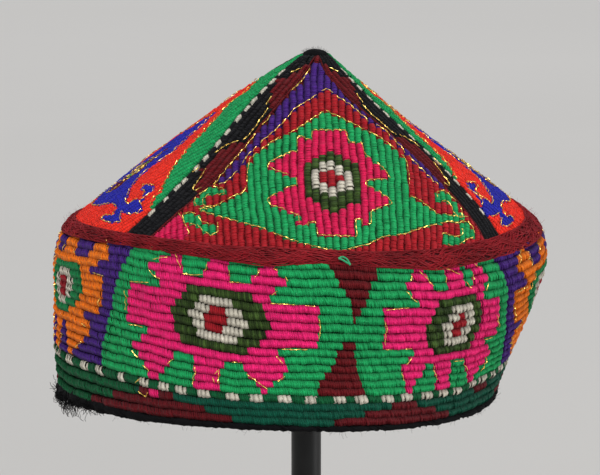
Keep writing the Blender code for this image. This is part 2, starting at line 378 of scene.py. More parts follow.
def hatPoints(angles, levels, out=0.0):
    # Points on the hat, in metres, that stand out from its outer surface by so many millimetres.
    parts = np.broadcast_arrays(angles, levels, out)
    angles, levels, out = (np.ravel(part).astype(float) for part in parts)
    return (outerPoints(angles, levels) + hatNormals(angles, levels) * out[:, None]) * mm


def ridgeAngle(ridge, levels):
    return np.interp(levels, hatShape["ridgeLevels"], hatShape["ridges"][ridge][0])


def stripWidth(ridge, levels):
    return np.interp(levels, hatShape["ridgeLevels"], hatShape["ridges"][ridge][1])


# Making pieces

def finishPiece(thing, replaces=None):
    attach(thing, hatBody)
    if replaces:
        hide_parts(replaces)
    return thing


def addThing(name, mesh):
    thing = bpy.data.objects.new(name, mesh)
    bpy.context.scene.collection.objects.link(thing)
    return thing


def addMesh(name, mesh, materials):
    mesh.polygons.foreach_set("use_smooth", [True] * len(mesh.polygons))
    for material in materials:
        mesh.materials.append(material)
    return addThing(name, mesh)


def gridMesh(name, points, closeRows=False, closeColumns=False):
    # A mesh through a table of points. Its faces look along rows x columns.
    rows, columns = points.shape[:2]
    number = np.arange(rows * columns).reshape(rows, columns)
    nextRow = np.roll(number, -1, axis=0) if closeRows else number[1:]
    here = number if closeRows else number[:-1]
    stack = np.stack((here, nextRow), axis=-1)
    if closeColumns:
        stack = np.concatenate((stack, stack[:, :1]), axis=1)
    faces = np.stack((stack[:, :-1, 0], stack[:, 1:, 0], stack[:, 1:, 1], stack[:, :-1, 1]), axis=-1)
    mesh = bpy.data.meshes.new(name)
    mesh.from_pydata(points.reshape(-1, 3).tolist(), [], faces.reshape(-1, 4).tolist())
    return mesh


def closedAndOutward(mesh):
    maker = bmesh.new()
    maker.from_mesh(mesh)
    bmesh.ops.remove_doubles(maker, verts=maker.verts, dist=0.000002)
    bmesh.ops.recalc_face_normals(maker, faces=maker.faces)
    maker.to_mesh(mesh)
    maker.free()
    return mesh


def addRound(name, rows, material, replaces, closeRows=False):
    # A finished piece from closed rows of points. The rows close too, or end in a point or an edge.
    mesh = closedAndOutward(gridMesh(name, np.stack(rows), closeRows, True))
    return finishPiece(addMesh(name, mesh, [material]), replaces)


def bakeNodes(name, source, tree, settings):
    # Runs a node tree on an object and keeps the result as a plain mesh in a new object.
    modifier = source.modifiers.new(tree.name, "NODES")
    modifier.node_group = tree
    for item in tree.interface.items_tree:
        if item.item_type == "SOCKET" and item.in_out == "INPUT" and item.name in settings:
            modifier[item.identifier] = settings[item.name]
    bpy.context.view_layer.update()
    graph = bpy.context.evaluated_depsgraph_get()
    mesh = bpy.data.meshes.new_from_object(source.evaluated_get(graph), depsgraph=graph)
    mesh.name = name
    bpy.data.objects.remove(source)
    return addThing(name, mesh)


# Node trees

socketKinds = {float: "NodeSocketFloat", int: "NodeSocketInt", bool: "NodeSocketBool"}


def startTree(name, inputs):
    # A tree that takes geometry, the listed inputs with their usual values, and a material.
    tree = bpy.data.node_groups.new(name, "GeometryNodeTree")
    tree.interface.new_socket(name="Geometry", in_out="INPUT", socket_type="NodeSocketGeometry")
    for label, value in inputs.items():
        socket = tree.interface.new_socket(name=label, in_out="INPUT", socket_type=socketKinds[type(value)])
        socket.default_value = value
    tree.interface.new_socket(name="material", in_out="INPUT", socket_type="NodeSocketMaterial")
    tree.interface.new_socket(name="Geometry", in_out="OUTPUT", socket_type="NodeSocketGeometry")
    return tree, tree.nodes.new("NodeGroupInput").outputs


def endTree(tree, given, geometry, smooth=True):
    real = put(tree, "GeometryNodeRealizeInstances", {"Geometry": geometry})[0]
    smoothed = put(tree, "GeometryNodeSetShadeSmooth", {"Geometry": real, "Shade Smooth": smooth})[0]
    dressed = put(tree, "GeometryNodeSetMaterial", {"Geometry": smoothed, "Material": given["material"]})[0]
    tree.links.new(dressed, tree.nodes.new("NodeGroupOutput").inputs[0])
    return tree


def ring(tree, sides, radius):
    return put(tree, "GeometryNodeCurvePrimitiveCircle", {"Resolution": sides, "Radius": radius})[0]


def tube(tree, curve, profile):
    return put(tree, "GeometryNodeCurveToMesh", {"Curve": curve, "Profile Curve": profile,
                                                 "Fill Caps": True})[0]


def placed(tree, points, instance, rotation, scale):
    return put(tree, "GeometryNodeInstanceOnPoints", {"Points": points, "Instance": instance,
                                                      "Rotation": rotation, "Scale": scale})[0]


def makeStitchTree():
    # One arched thread on every point, turned to the rib that it crosses.
    tree, given = startTree("stitches", {"bend steps": 5})
    arc = put(tree, "GeometryNodeCurveArc", {"Resolution": given["bend steps"], "Radius": 1.0,
                                             "Start Angle": 0.0, "Sweep Angle": math.pi})[0]
    along = put(tree, "GeometryNodeSplineParameter")["Factor"]
    marked = put(tree, "GeometryNodeStoreNamedAttribute", {"Geometry": arc, "Name": "arch", "Value": along},
                 data_type="FLOAT", domain="POINT")[0]
    section = ring(tree, stitchLook["sides"], stitchLook["depth"])
    profile = put(tree, "GeometryNodeTransform", {"Geometry": section, "Rotation": (0, 0, math.pi)})[0]
    upright = put(tree, "GeometryNodeTransform", {"Geometry": tube(tree, marked, profile),
                                                  "Rotation": (math.pi / 2, 0, math.pi / 2)})[0]
    normal, ahead, size = (put(tree, "GeometryNodeInputNamedAttribute", {"Name": name},
                               data_type="FLOAT_VECTOR")["Attribute"]
                           for name in ("stitchNormal", "stitchAlong", "stitchSize"))
    turn = put(tree, "FunctionNodeAxesToRotation", {"Primary Axis": normal, "Secondary Axis": ahead},
               primary_axis="Z", secondary_axis="X")[0]
    real = put(tree, "GeometryNodeRealizeInstances",
               {"Geometry": placed(tree, given["Geometry"], upright, turn, size)})[0]
    bare = put(tree, "GeometryNodeRemoveAttribute", {"Geometry": real, "Name": "stitch*"},
               pattern_mode="WILDCARD")[0]
    return endTree(tree, given, bare)


def makeThreadTree():
    # Turns lines into threads that wander a little. A flat profile turns as it goes and glints.
    tree, given = startTree("threads", {
        "radius": 0.0003, "flatness": 1.0, "sides": 4, "spacing": 0.0015, "wander": 0.0002,
        "wander scale": 250.0, "turns per metre": 0.0, "smooth": True})
    curve = put(tree, "GeometryNodeMeshToCurve", {"Mesh": given["Geometry"]})[0]
    even = put(tree, "GeometryNodeResampleCurve", {"Curve": curve, "Length": given["spacing"]},
               mode="LENGTH")[0]
    noise = put(tree, "ShaderNodeTexNoise", {"W": 3.0, "Scale": given["wander scale"], "Detail": 2.0},
                noise_dimensions="4D")["Color"]
    centred = put(tree, "ShaderNodeVectorMath", {0: noise, 1: (0.5, 0.5, 0.5)}, operation="SUBTRACT")[0]
    offset = put(tree, "ShaderNodeVectorMath", {0: centred, "Scale": given["wander"]}, operation="SCALE")[0]
    moved = put(tree, "GeometryNodeSetPosition", {"Geometry": even, "Offset": offset})[0]
    length = put(tree, "GeometryNodeSplineParameter")["Length"]
    turns = calculated(tree, "MULTIPLY", length, given["turns per metre"])
    angle = calculated(tree, "MULTIPLY", turns, 2 * math.pi)
    tilted = put(tree, "GeometryNodeSetCurveTilt", {"Curve": moved, "Tilt": angle})[0]
    shape = put(tree, "ShaderNodeCombineXYZ", {"X": 1.0, "Y": given["flatness"], "Z": 1.0})[0]
    flat = put(tree, "GeometryNodeTransform", {"Geometry": ring(tree, given["sides"], given["radius"]),
                                               "Scale": shape})[0]
    return endTree(tree, given, tube(tree, tilted, flat), given["smooth"])


def makeFuzzTree():
    # Short bent hairs all over a surface.
    tree, given = startTree("fuzz", {
        "hairs per square metre": 100000.0, "hair length": 0.002, "hair radius": 0.00004, "lean": 0.8,
        "seed": 5})
    spread = put(tree, "GeometryNodeDistributePointsOnFaces", {
        "Mesh": given["Geometry"], "Density": given["hairs per square metre"], "Seed": given["seed"]})
    line = put(tree, "GeometryNodeCurveQuadraticBezier", {
        "Resolution": 3, "Start": (0, 0, 0), "Middle": (0.05, 0, 0.6), "End": (0.5, 0.1, 0.9)})[0]
    thin = calculated(tree, "DIVIDE", given["hair radius"], given["hair length"])
    hair = tube(tree, line, ring(tree, 3, thin))
    back = calculated(tree, "MULTIPLY", given["lean"], -1.0)
    least, most = (put(tree, "ShaderNodeCombineXYZ", {"X": lean, "Y": lean, "Z": turn})[0]
                   for lean, turn in ((back, -math.pi), (given["lean"], math.pi)))
    random = put(tree, "FunctionNodeRandomValue", {"Min": least, "Max": most, "Seed": given["seed"]},
                 data_type="FLOAT_VECTOR")["Value"]
    asTurn = put(tree, "FunctionNodeEulerToRotation", {"Euler": random})[0]
    turn = put(tree, "FunctionNodeRotateRotation", {"Rotation": spread["Rotation"], "Rotate By": asTurn},
               rotation_space="LOCAL")[0]
    share = put(tree, "FunctionNodeRandomValue", {2: 0.35, 3: 1.0, "Seed": given["seed"]},
                data_type="FLOAT")[1]
    size = calculated(tree, "MULTIPLY", share, given["hair length"])
    return endTree(tree, given, placed(tree, spread["Points"], hair, turn, size))


# Stitches

stitchLook = {
    "sides": 3, "depth": 0.2, "halfBreadth": 0.346,      # the profile, for a stitch of half width one
    "placeSpread": 0.07, "lengthSpread": 0.07, "widthSpread": 0.04, "riseSpread": 0.045,
    "riseWaves": (9.0, 5.3, 21.0), "sideWaves": (31.0, 14.0, 7.7),
    "toneWaves": (17.0, 43.0), "toneWave": 0.03,
    "endWidth": 0.8, "endRise": 0.45,                    # what is left of these at the end of a colour
    "whiteSize": (1.7, 1.02, 1.1),
    "oliveDraws": (0, 0.3, 0.35, 0.7, 0.75, 1),          # the greens differ from stitch to stitch
    "oliveTones": (1.9, 1.4, 1.0, 1.0, 0.7, 0.6),
}


def addPoints(name, points, attributes):
    mesh = bpy.data.meshes.new(name)
    mesh.vertices.add(len(points))
    mesh.vertices.foreach_set("co", np.ascontiguousarray(points, dtype=np.float32).ravel())
    for label, values in attributes.items():
        kind, field = ("FLOAT_COLOR", "color") if values.shape[1] == 4 else ("FLOAT_VECTOR", "vector")
        layer = mesh.attributes.new(label, kind, "POINT")
        layer.data.foreach_set(field, np.ascontiguousarray(values, dtype=np.float32).ravel())
    mesh.update()
    return addThing(name, mesh)


threadColours = {   # as the threads look in even light, in sRGB bytes
    "green": (27, 160, 90),
    "deepGreen": (12, 88, 50),
    "teal": (6, 79, 59),
    "pink": (236, 35, 114),
    "rose": (216, 26, 82),
    "crimson": (170, 26, 36),
    "maroon": (101, 17, 23),
    "darkMaroon": (96, 18, 25),
    "core": (158, 26, 36),
    "purple": (68, 32, 118),
    "orange": (240, 122, 24),
    "fire": (246, 50, 34),
    "blue": (38, 40, 170),
    "leafGreen": (22, 126, 70),
    "olive": (50, 70, 28),
    "white": (206, 199, 182),
    "black": (17, 17, 20),
}
colourNames = list(threadColours)
linearThreads = np.array([linearColour(colour) for colour in threadColours.values()])


def code(name):
    return colourNames.index(name)


def wander(draw, places, waves, size):
    # A smooth uneven curve: a few sines with drawn phases.
    phases = draw.uniform(0, 2 * math.pi, len(waves))
    return size * sum(np.sin(2 * math.pi * places / wave + phase) for wave, phase in zip(waves, phases))


def drift(points):
    # A smooth sideways shift that neighbouring ribs share, for points in millimetres.
    x, y, z = points.T
    return (np.sin(x / 7.1 + z / 9.3 + 1.0) + np.sin(y / 5.7 - z / 7.9)
            + np.sin(x / 3.9 - y / 4.4 + z / 5.2)) / 2


def runAlong(points):
    # How far each point is along its line.
    return np.concatenate(([0.0], np.cumsum(np.linalg.norm(np.diff(points, axis=0), axis=1))))


def pointsAt(places, run, path):
    return np.stack([np.interp(places, run, path[:, axis]) for axis in range(3)], axis=1)


def layRib(angles, levels, halfWidths, colourOf, look, draw):
    # Stitches along one rib. The rib's middle runs through the given fine points.
    path = outerPoints(angles, levels)
    run = runAlong(path)
    count = max(int(run[-1] / look["pitch"]), 1)
    step = run[-1] / count
    number = np.arange(count)
    jitter = draw.uniform(-stitchLook["placeSpread"], stitchLook["placeSpread"], count)
    places = (number + 0.5 + jitter) * step
    angle, level, halfWidth = (np.interp(places, run, values) for values in (angles, levels, halfWidths))
    # where each stretch of one colour ends, and how full its stitches are there
    colours = colourOf(angle, level)
    ends = np.concatenate(([-0.5], np.flatnonzero(np.diff(colours)) + 0.5, [count - 0.5]))
    after = np.searchsorted(ends, number)
    fromEnd = np.minimum(number - ends[after - 1], ends[after] - number) * step
    full = np.sqrt(1 - (1 - np.clip(fromEnd / look["roundEnd"], 0.0, 1.0)) ** 2)
    plump = (1 + wander(draw, places, stitchLook["riseWaves"], look["uneven"])
             + draw.normal(0, stitchLook["riseSpread"], count))
    # which way each stitch lies, and where its middle is
    normal = hatNormals(angle, level)
    ahead = pointsAt(places + step / 2, run, path) - pointsAt(places - step / 2, run, path)
    ahead = unit(ahead - normal * (ahead * normal).sum(axis=1, keepdims=True))
    across = np.cross(normal, ahead)
    slant = np.radians(look["slant"] + draw.normal(0, look["slantSpread"], count))[:, None]
    along = ahead * np.cos(slant) + across * np.sin(slant)
    middle = pointsAt(places, run, path)
    shift = wander(draw, places, stitchLook["sideWaves"], look["wobble"]) + look["drift"] * drift(middle)
    middle = middle + across * shift[:, None] - normal * look["sink"]
    endWidth, endRise = stitchLook["endWidth"], stitchLook["endRise"]
    length = step / stitchLook["halfBreadth"] * look["cover"]
    size = np.stack((
        np.full(count, length) * (1 + draw.normal(0, stitchLook["lengthSpread"], count)),
        halfWidth * (endWidth + (1 - endWidth) * full) * look["spread"]
        * (1 + draw.normal(0, stitchLook["widthSpread"], count)),
        look["rise"] * (endRise + (1 - endRise) * full) * plump), axis=1)
    tone = (1 + draw.normal(0, look["toneSpread"], count)
            + wander(draw, places, stitchLook["toneWaves"], stitchLook["toneWave"]))
    oliveTone = np.interp(draw.random(count), stitchLook["oliveDraws"], stitchLook["oliveTones"])
    tone = tone * np.where(colours == code("olive"), oliveTone, 1.0)
    colour = np.ones((count, 4))
    colour[:, :3] = np.clip(linearThreads[colours] * tone[:, None], 0, 1)
    # white is a thicker cotton, with half as many stitches, centred on their stretch
    thick = (colours == code("white")) & look["thickWhite"]
    size[thick] *= stitchLook["whiteSize"]
    evenStretch = (ends[after] - ends[after - 1]) % 2 == 0
    middle += ahead * (thick & evenStretch)[:, None] * step / 2
    kept = ~thick | ((number - ends[after - 1] - 0.5) % 2 == 0)
    return {"place": middle[kept] * mm, "stitchNormal": normal[kept], "stitchAlong": along[kept],
            "stitchSize": size[kept] * mm, "threadColour": colour[kept]}


def addStitches(name, ribs, tree, material, steps):
    joined = {key: np.concatenate([rib[key] for rib in ribs]) for key in ribs[0]}
    points = addPoints(name + " points", joined.pop("place"), joined)
    finishPiece(bakeNodes(name, points, tree, {"bend steps": steps, "material": material}))
    print(name, "has", len(joined["stitchSize"]), "stitches")


# The band, rib by rib from the top

bandLook = {"low": 2.8, "high": 65.6, "pitch": 0.84, "cover": 1.24, "spread": 1.17, "rise": 1.75, "sink": 1.4,
            "slant": 22.0, "slantSpread": 4.0, "wobble": 0.1, "drift": 0.15, "uneven": 0.045, "roundEnd": 2.2,
            "toneSpread": 0.085, "bendSteps": 5, "thickWhite": True}
ribLines = {
    "ribs": 20,
    "counts": (0, 1, 9, 13, 16, 20),    # the lines between ribs whose level is known, from the top
    "topRib": 3.1,
    "highest": 67.4,
    # angle, then the level of each of those lines but the first and the last
    "levels": np.array((
        (-66, 65.2, 38.2, 24.6, 16.2),
        (-50, 64.8, 37.9, 25.4, 16.2),
        (-38, 63.9, 37.4, 25.2, 16.0),
        (-30, 63.6, 38.0, 24.4, 15.6),
        (-22, 63.4, 37.0, 24.1, 15.1),
        (-15, 63.3, 36.4, 24.1, 15.3),
        (-4, 63.8, 37.6, 25.4, 16.5),
        (3, 64.5, 37.9, 26.1, 16.5),
        (14, 63.5, 37.8, 25.9, 16.5),
        (22, 63.2, 37.4, 25.7, 16.1),
        (30, 62.4, 36.7, 24.4, 15.5),
        (42, 63.4, 36.9, 23.7, 14.5),
        (50, 63.4, 35.9, 24.2, 15.8),
        (70, 64.6, 37.6, 25.0, 16.0),
        (180, 64.2, 37.4, 24.8, 15.8))),
}


def tableRound(table, angles):
    # The columns of a table whose first column is the angle, all round the hat.
    return [np.interp(angles, table[:, 0], column, period=360.0) for column in table[:, 1:].T]


def knownLines(angles):
    # The levels of the counted lines: the top rib's upper line first, the band's lower edge last.
    lines = tableRound(ribLines["levels"], angles)
    top = np.minimum(lines[0] + ribLines["topRib"], ribLines["highest"])
    return np.stack([top] + lines + [np.full(len(top), bandLook["low"])])


def ribLevel(rib, angles):
    # The level of a place among the ribs: 0 is the upper line of the top rib.
    levels = knownLines(angles)
    counts = ribLines["counts"]
    upper = min(int(np.searchsorted(counts, rib, side="right")) - 1, len(counts) - 2)
    share = (rib - counts[upper]) / (counts[upper + 1] - counts[upper])
    return levels[upper] * (1 - share) + levels[upper + 1] * share


def ribPlace(angles, levels):
    # The reverse: the place among the ribs at some angles and levels.
    lines = knownLines(angles)
    counts = ribLines["counts"]
    return sum(np.clip((upper - levels) / (upper - lower), 0, 1) * (last - first)
               for first, last, upper, lower in zip(counts, counts[1:], lines, lines[1:]))


# For each colour, the ribs it shows on, and the angles where it starts and ends there.
frontChart = {
    "pink": {
        0: (-36.0, -33.0, -26.0, -21.2, -13.3, -10.8, 22.0, 24.3, 30.1, 34.6, 35.8, 39.8),
        1: (-38.7, -32.6, -26.4, -20.9, -14.2, -9.5, 21.6, 25.8, 30.8, 35.4, 38.4, 42.0),
        2: (-41.2, -31.8, -26.6, -20.4, -15.2, -7.3, 20.1, 27.3, 31.2, 36.1, 38.4, 43.5),
        3: (-38.7, -9.5, 21.9, 42.6), 4: (-37.0, -10.7, 23.7, 42.6), 5: (-45.7, 0.4, 15.3, 48.9),
        6: (-45.9, 0.6, 15.6, 49.6), 7: (-45.9, 0.9, 16.2, 50.2), 8: (-45.9, 1.0, 16.4, 51.3),
        9: (-45.9, 1.2, 16.2, 51.7), 10: (-38.9, -7.1, 24.7, 47.0), 11: (-40.5, -5.6, 23.8, 49.3),
        12: (-42.3, -30.6, -25.6, -18.6, -14.0, -4.2, 22.0, 28.4, 30.9, 36.4, 41.0, 51.3),
        13: (-40.2, -31.0, -25.1, -18.8, -12.6, -4.8, 22.9, 28.4, 32.0, 37.0, 42.0, 50.2),
        14: (-37.6, -32.4, -24.6, -18.6, -10.4, -6.6, 23.9, 27.2, 33.0, 37.2, 43.4, 48.6),
        15: (-36.1, -33.2, -24.2, -18.2, -9.0, -7.4, 24.7, 26.4, 33.2, 37.8, 44.7, 46.8),
        17: (-35.2, -32.8),
    },
    "olive": {
        4: (-30.2, -14.8, 29.1, 40.2), 5: (-31.5, -12.0, 28.4, 41.9), 6: (-32.7, -11.0, 27.5, 42.8),
        7: (-33.9, -9.8, 26.7, 43.3), 8: (-32.9, -10.8, 27.2, 43.2), 9: (-32.1, -11.5, 28.1, 42.6),
        10: (-30.3, -13.9, 29.9, 41.6),
    },
    "white": {
        5: (-26.8, -18.8, 33.1, 39.0), 6: (-27.6, -16.7, 32.4, 40.2), 7: (-29.2, -15.1, 31.3, 40.9),
        8: (-27.6, -16.0, 32.2, 40.0), 9: (-26.1, -17.0, 32.8, 39.6),
    },
    "core": {
        6: (-24.3, -20.3, 35.4, 37.8), 7: (-25.5, -19.3, 34.3, 38.6), 8: (-24.7, -20.2, 34.2, 37.6),
    },
    "maroon": {
        0: (1.8, 13.2), 1: (3.2, 13.1), 2: (4.5, 11.9), 3: (6.1, 11.6), 4: (7.4, 10.8), 5: (7.9, 10.0),
        6: (8.6, 9.2), 9: (7.0, 9.6), 10: (5.9, 9.8), 11: (5.7, 10.6), 12: (5.3, 11.2), 13: (4.4, 12.2),
        14: (3.6, 13.3), 15: (3.6, 14.1),
    },
    "darkMaroon": {
        17: (48.5, 55.5),
    },
}

# One half of the medallion on the sides, as degrees from its middle. The other half mirrors it.
sideChart = {
    "orange": {
        0: (0.0, 3.2, 13.8, 16.6), 1: (0.0, 3.9, 12.4, 18.4), 2: (0.0, 4.3, 11.2, 19.2), 3: (0.0, 16.0),
        4: (0.0, 13.9), 5: (0.0, 20.1), 6: (0.0, 20.7), 7: (0.0, 21.2), 8: (0.0, 21.4), 9: (0.0, 21.4),
        10: (0.0, 15.8), 11: (0.0, 19.2), 12: (0.0, 3.4, 6.4, 20.3), 13: (0.0, 3.2, 7.6, 18.4),
        14: (0.0, 3.0, 9.0, 16.4), 15: (0.0, 2.8, 10.8, 13.8),
    },
    "leafGreen": {
        4: (0.0, 9.1), 5: (0.0, 10.6), 6: (0.0, 11.7), 7: (0.0, 12.6), 8: (0.0, 11.4), 9: (0.0, 10.0),
        10: (0.0, 6.5),
    },
    "white": {
        5: (0.0, 4.6), 6: (0.0, 6.6), 7: (0.0, 6.4), 8: (0.0, 5.4), 9: (0.0, 3.4),
    },
    "core": {
        6: (0.0, 3.4), 7: (0.0, 3.0), 8: (0.0, 2.4),
    },
}
bandPlan = {
    # ribs, and where each section's border is there
    "borders": {
        "frontLeft": ((0, 4, 6, 10, 13, 15), (-46.8, -49.6, -50.6, -51.8, -52.3, -51.4)),
        "frontRight": ((0, 2, 4, 6, 9, 12, 15), (46.2, 49.4, 51.5, 52.8, 56.0, 58.6, 62.0)),
        "backRight": ((0, 15), (138.0, 136.0)),
        "backLeft": ((0, 15), (224.0, 226.0)),
    },
    "backChart": (-49.0, 101.0),     # what the back shows of the front's chart: its start and width
    # the medallions on the sides: their middles at these ribs, and how wide they are
    "sideRibs": (3, 5, 9, 15),
    "sideMiddles": (((-73.4, -74.8, -77.2, -80.0), 1.0), ((-113.5, -113.5, -114.5, -115.5), 0.86),
                    ((74.4, 75.2, 82.0, 86.0), 1.0), ((114.5, 115.0, 118.0, 119.5), 0.84)),
    "checkRib": 16,
    "goldAngles": (-76.0, 62.0),     # between these the gold runs as listed, elsewhere as strayGold draws it
    "gold": (
        ((-39.9, 61.5), (-38.4, 62.4), (-36.3, 63.3)), ((-34.5, 64.8), (-33.3, 62.1), (-32.1, 59.4)),
        ((-40.2, 57.0), (-39.0, 55.5), (-37.2, 54.3)), ((-45.6, 51.3), (-41.7, 51.9), (-39.9, 52.2)),
        ((-31.5, 57.6), (-28.8, 57.6), (-26.7, 58.2)), ((-26.4, 59.7), (-26.1, 61.2), (-26.1, 62.4)),
        ((-20.7, 60.9), (-20.4, 58.8)), ((-20.4, 56.7), (-18.0, 57.0), (-15.6, 56.4)),
        ((-14.7, 59.1), (-14.1, 60.6), (-13.8, 62.4)), ((-10.5, 50.4), (-5.4, 50.7), (-0.6, 50.7)),
        ((0.6, 46.5), (1.2, 43.2), (1.2, 39.0)), ((-6.6, 33.9), (-0.9, 34.5)),
        ((-7.5, 31.2), (-5.7, 28.8)), ((-12.9, 23.4), (-10.2, 21.0), (-7.5, 18.3)),
        ((-5.7, 21.6), (-4.5, 24.0)), ((-10.8, 63.3), (-9.7, 62.9)), ((-10.5, 53.4), (-9.3, 55.2)),
        ((-7.8, 60.6), (-7.2, 59.1)), ((-44.4, 33.9), (-42.0, 34.2), (-40.2, 33.9)),
        ((-41.7, 24.6), (-40.8, 23.4), (-39.6, 22.8)), ((-31.5, 22.5), (-30.6, 24.6)),
        ((-37.8, 20.4), (-36.6, 19.5), (-36.0, 18.6)),
        ((-24.9, 23.4), (-24.3, 21.6), (-24.6, 19.2), (-24.3, 16.8)), ((-19.8, 21.9), (-19.2, 23.7)),
        ((-20.1, 20.4), (-19.5, 18.6)), ((-19.2, 23.1), (-18.6, 18.6)), ((-39.0, 13.5), (-37.8, 15.6)),
        ((-37.8, 10.8), (-36.0, 9.0), (-35.1, 11.1)), ((-16.8, 27.0), (-14.7, 27.3)),
        ((21.3, 60.6), (21.6, 62.7)), ((23.4, 63.9), (25.5, 60.9), (27.0, 58.2)),
        ((20.4, 56.7), (21.6, 54.3), (23.1, 52.5)), ((15.6, 50.1), (18.6, 50.3), (21.3, 50.5)),
        ((15.6, 45.9), (16.5, 43.2), (16.5, 38.4), (16.8, 36.6)),
        ((17.1, 34.8), (20.7, 34.5), (23.7, 34.5)), ((23.1, 28.2), (24.0, 30.9)),
        ((22.2, 25.2), (23.4, 21.9)), ((30.9, 26.4), (31.5, 23.7), (33.0, 20.4)),
        ((30.3, 63.9), (32.4, 63.0), (34.2, 61.5)), ((30.3, 60.9), (30.6, 59.1)),
        ((28.2, 55.9), (29.7, 56.2)), ((36.0, 58.5), (37.8, 55.8)), ((38.7, 64.5), (40.8, 62.7)),
        ((38.4, 60.6), (38.7, 58.8)), ((43.2, 56.4), (42.6, 54.0)), ((48.9, 42.3), (51.6, 36.3)),
        ((46.5, 32.7), (49.5, 32.7)), ((50.1, 24.3), (50.1, 20.4), (48.6, 19.2)),
        ((41.4, 23.7), (42.9, 21.0)), ((36.9, 26.7), (39.9, 26.4)), ((-56.4, 66.3), (-54.6, 63.0)),
        ((-58.2, 52.5), (-54.3, 51.6)), ((-55.5, 41.7), (-56.1, 38.1)),
        ((-46.8, 47.1), (-46.5, 44.1), (-46.2, 39.3)), ((-61.5, 29.4), (-60.0, 28.5)),
        ((-75.9, 22.2), (-74.1, 21.0)), ((-69.6, 60.9), (-68.4, 59.1)), ((-57.0, 57.9), (-56.1, 58.8)),
        ((-63.3, 19.8), (-61.2, 22.5)), ((57.3, 65.1), (56.1, 60.0)), ((55.8, 49.5), (61.2, 49.8)),
        ((56.4, 43.5), (60.6, 36.0)),
    ),
    # where each white check starts and ends, then how the others follow round the back
    "frontChecks": (
        (-71.0, -66.0), (-60.6, -57.2), (-53.4, -50.3), (-45.2, -42.8), (-38.2, -35.8), (-32.7, -30.3),
        (-28.2, -25.8), (-22.8, -20.0), (-16.0, -13.8), (-11.0, -8.6), (-4.6, -2.1), (1.3, 3.7),
        (7.3, 10.0), (12.4, 15.3), (19.2, 21.5), (24.2, 26.6), (29.5, 32.4), (34.9, 37.6), (40.2, 42.7),
        (45.8, 48.4), (50.6, 54.0), (56.8, 59.6),
    ),
    "tealFrom": -39.0,
    "lastCheck": 284.0,
    "checkPitch": 6.4,
    "checkWidth": 2.8,
    # the stepped pyramids over the hem: their middles and sizes, and where each rib of them starts and ends
    "steps": ((-33.5, 1.32), (25.0, 1.0), (84.0, 1.1), (146.0, 1.1), (206.0, 1.1), (256.0, 1.1)),
    "stepWidths": {17: (-3.4, 3.8), 18: (-9.8, 9.5), 19: (-16.5, 14.6)},
}


def paint(colours, where, chart, rib):
    for colour, rows in chart.items():
        spans = rows.get(rib, ())
        for start, end in zip(spans[::2], spans[1::2]):
            colours[(where >= start) & (where <= end)] = code(colour)


beyond = 999.0     # a place that no chart reaches


def bandColours(rib, angles):
    angle = (angles + 135.0) % 360.0 - 135.0     # from -135 to 225
    borders = {name: float(np.interp(rib, *rows)) for name, rows in bandPlan["borders"].items()}
    front = (angle > borders["frontLeft"]) & (angle < borders["frontRight"])
    back = (angle > borders["backRight"]) | (angle < borders["backLeft"] - 360.0)
    colours = np.full(len(angle), code("purple"))
    colours[front | back] = code("green")
    if rib < bandPlan["checkRib"]:
        paint(colours, np.where(front, angle, beyond), frontChart, rib)
        share = (borders["backLeft"] - angle % 360.0) / (borders["backLeft"] - borders["backRight"])
        chartFrom, chartWidth = bandPlan["backChart"]
        paint(colours, np.where(back, chartFrom + share * chartWidth, beyond), frontChart, rib)
        for middles, width in bandPlan["sideMiddles"]:
            fromMiddle = np.abs(angle - np.interp(rib, bandPlan["sideRibs"], middles)) / width
            paint(colours, np.where(front | back, beyond, fromMiddle), sideChart, rib)
    elif rib == bandPlan["checkRib"]:
        colours[:] = code("deepGreen")
        pitch = bandPlan["checkPitch"]
        later = np.arange(bandPlan["frontChecks"][-1][1] + pitch / 2, bandPlan["lastCheck"], pitch)
        backChecks = [(place, place + bandPlan["checkWidth"]) for place in later]
        for first, last in (*bandPlan["frontChecks"], *backChecks):
            apart = np.abs(signed(angle - (first + last) / 2))
            colours[apart < (last - first) / 2] = code("white")
    else:
        colours[:] = code("teal")
        colours[angle < bandPlan["tealFrom"]] = code("deepGreen")
        low, high = bandPlan["stepWidths"][rib]
        for middle, size in bandPlan["steps"]:
            apart = signed(angle - middle)
            colours[(apart > low * size) & (apart < high * size)] = code("darkMaroon")
        paint(colours, angle, frontChart, rib)
    return colours


def addBandStitches(tree, material):
    draw = np.random.default_rng(41)
    for name, start in (("Front", -50.0), ("Right", 40.0), ("Back", 130.0), ("Left", 220.0)):
        ribs = []
        angles = np.linspace(start, start + 90.0, 361)
        for rib in range(ribLines["ribs"]):
            upper, lower = ribLevel(rib, angles), ribLevel(rib + 1, angles)
            ribs.append(layRib(angles, (upper + lower) / 2, (upper - lower) / 2,
                               lambda angle, level: bandColours(rib, angle), bandLook, draw))
        addStitches("bandStitches" + name, ribs, tree, material, bandLook["bendSteps"])


# The crown

crownLook = {"low": 68.2, "high": 132.8, "stitchHigh": 135.6, "step": 0.4, "mostRibs": 34, "rib": 2.83,
             "seam": 0.4, "leastWidth": 0.4, "leastRoom": 0.6, "roomBeyond": 0.2, "pitch": 0.84, "cover": 1.4,
             "spread": 1.08, "rise": 1.5, "sink": 1.2, "slant": 8.0, "slantSpread": 5.0, "wobble": 0.1,
             "drift": 0.3, "uneven": 0.05, "roundEnd": 1.8, "toneSpread": 0.08, "bendSteps": 4,
             "thickWhite": True}
goreRibs = range(-crownLook["mostRibs"], crownLook["mostRibs"] + 1)
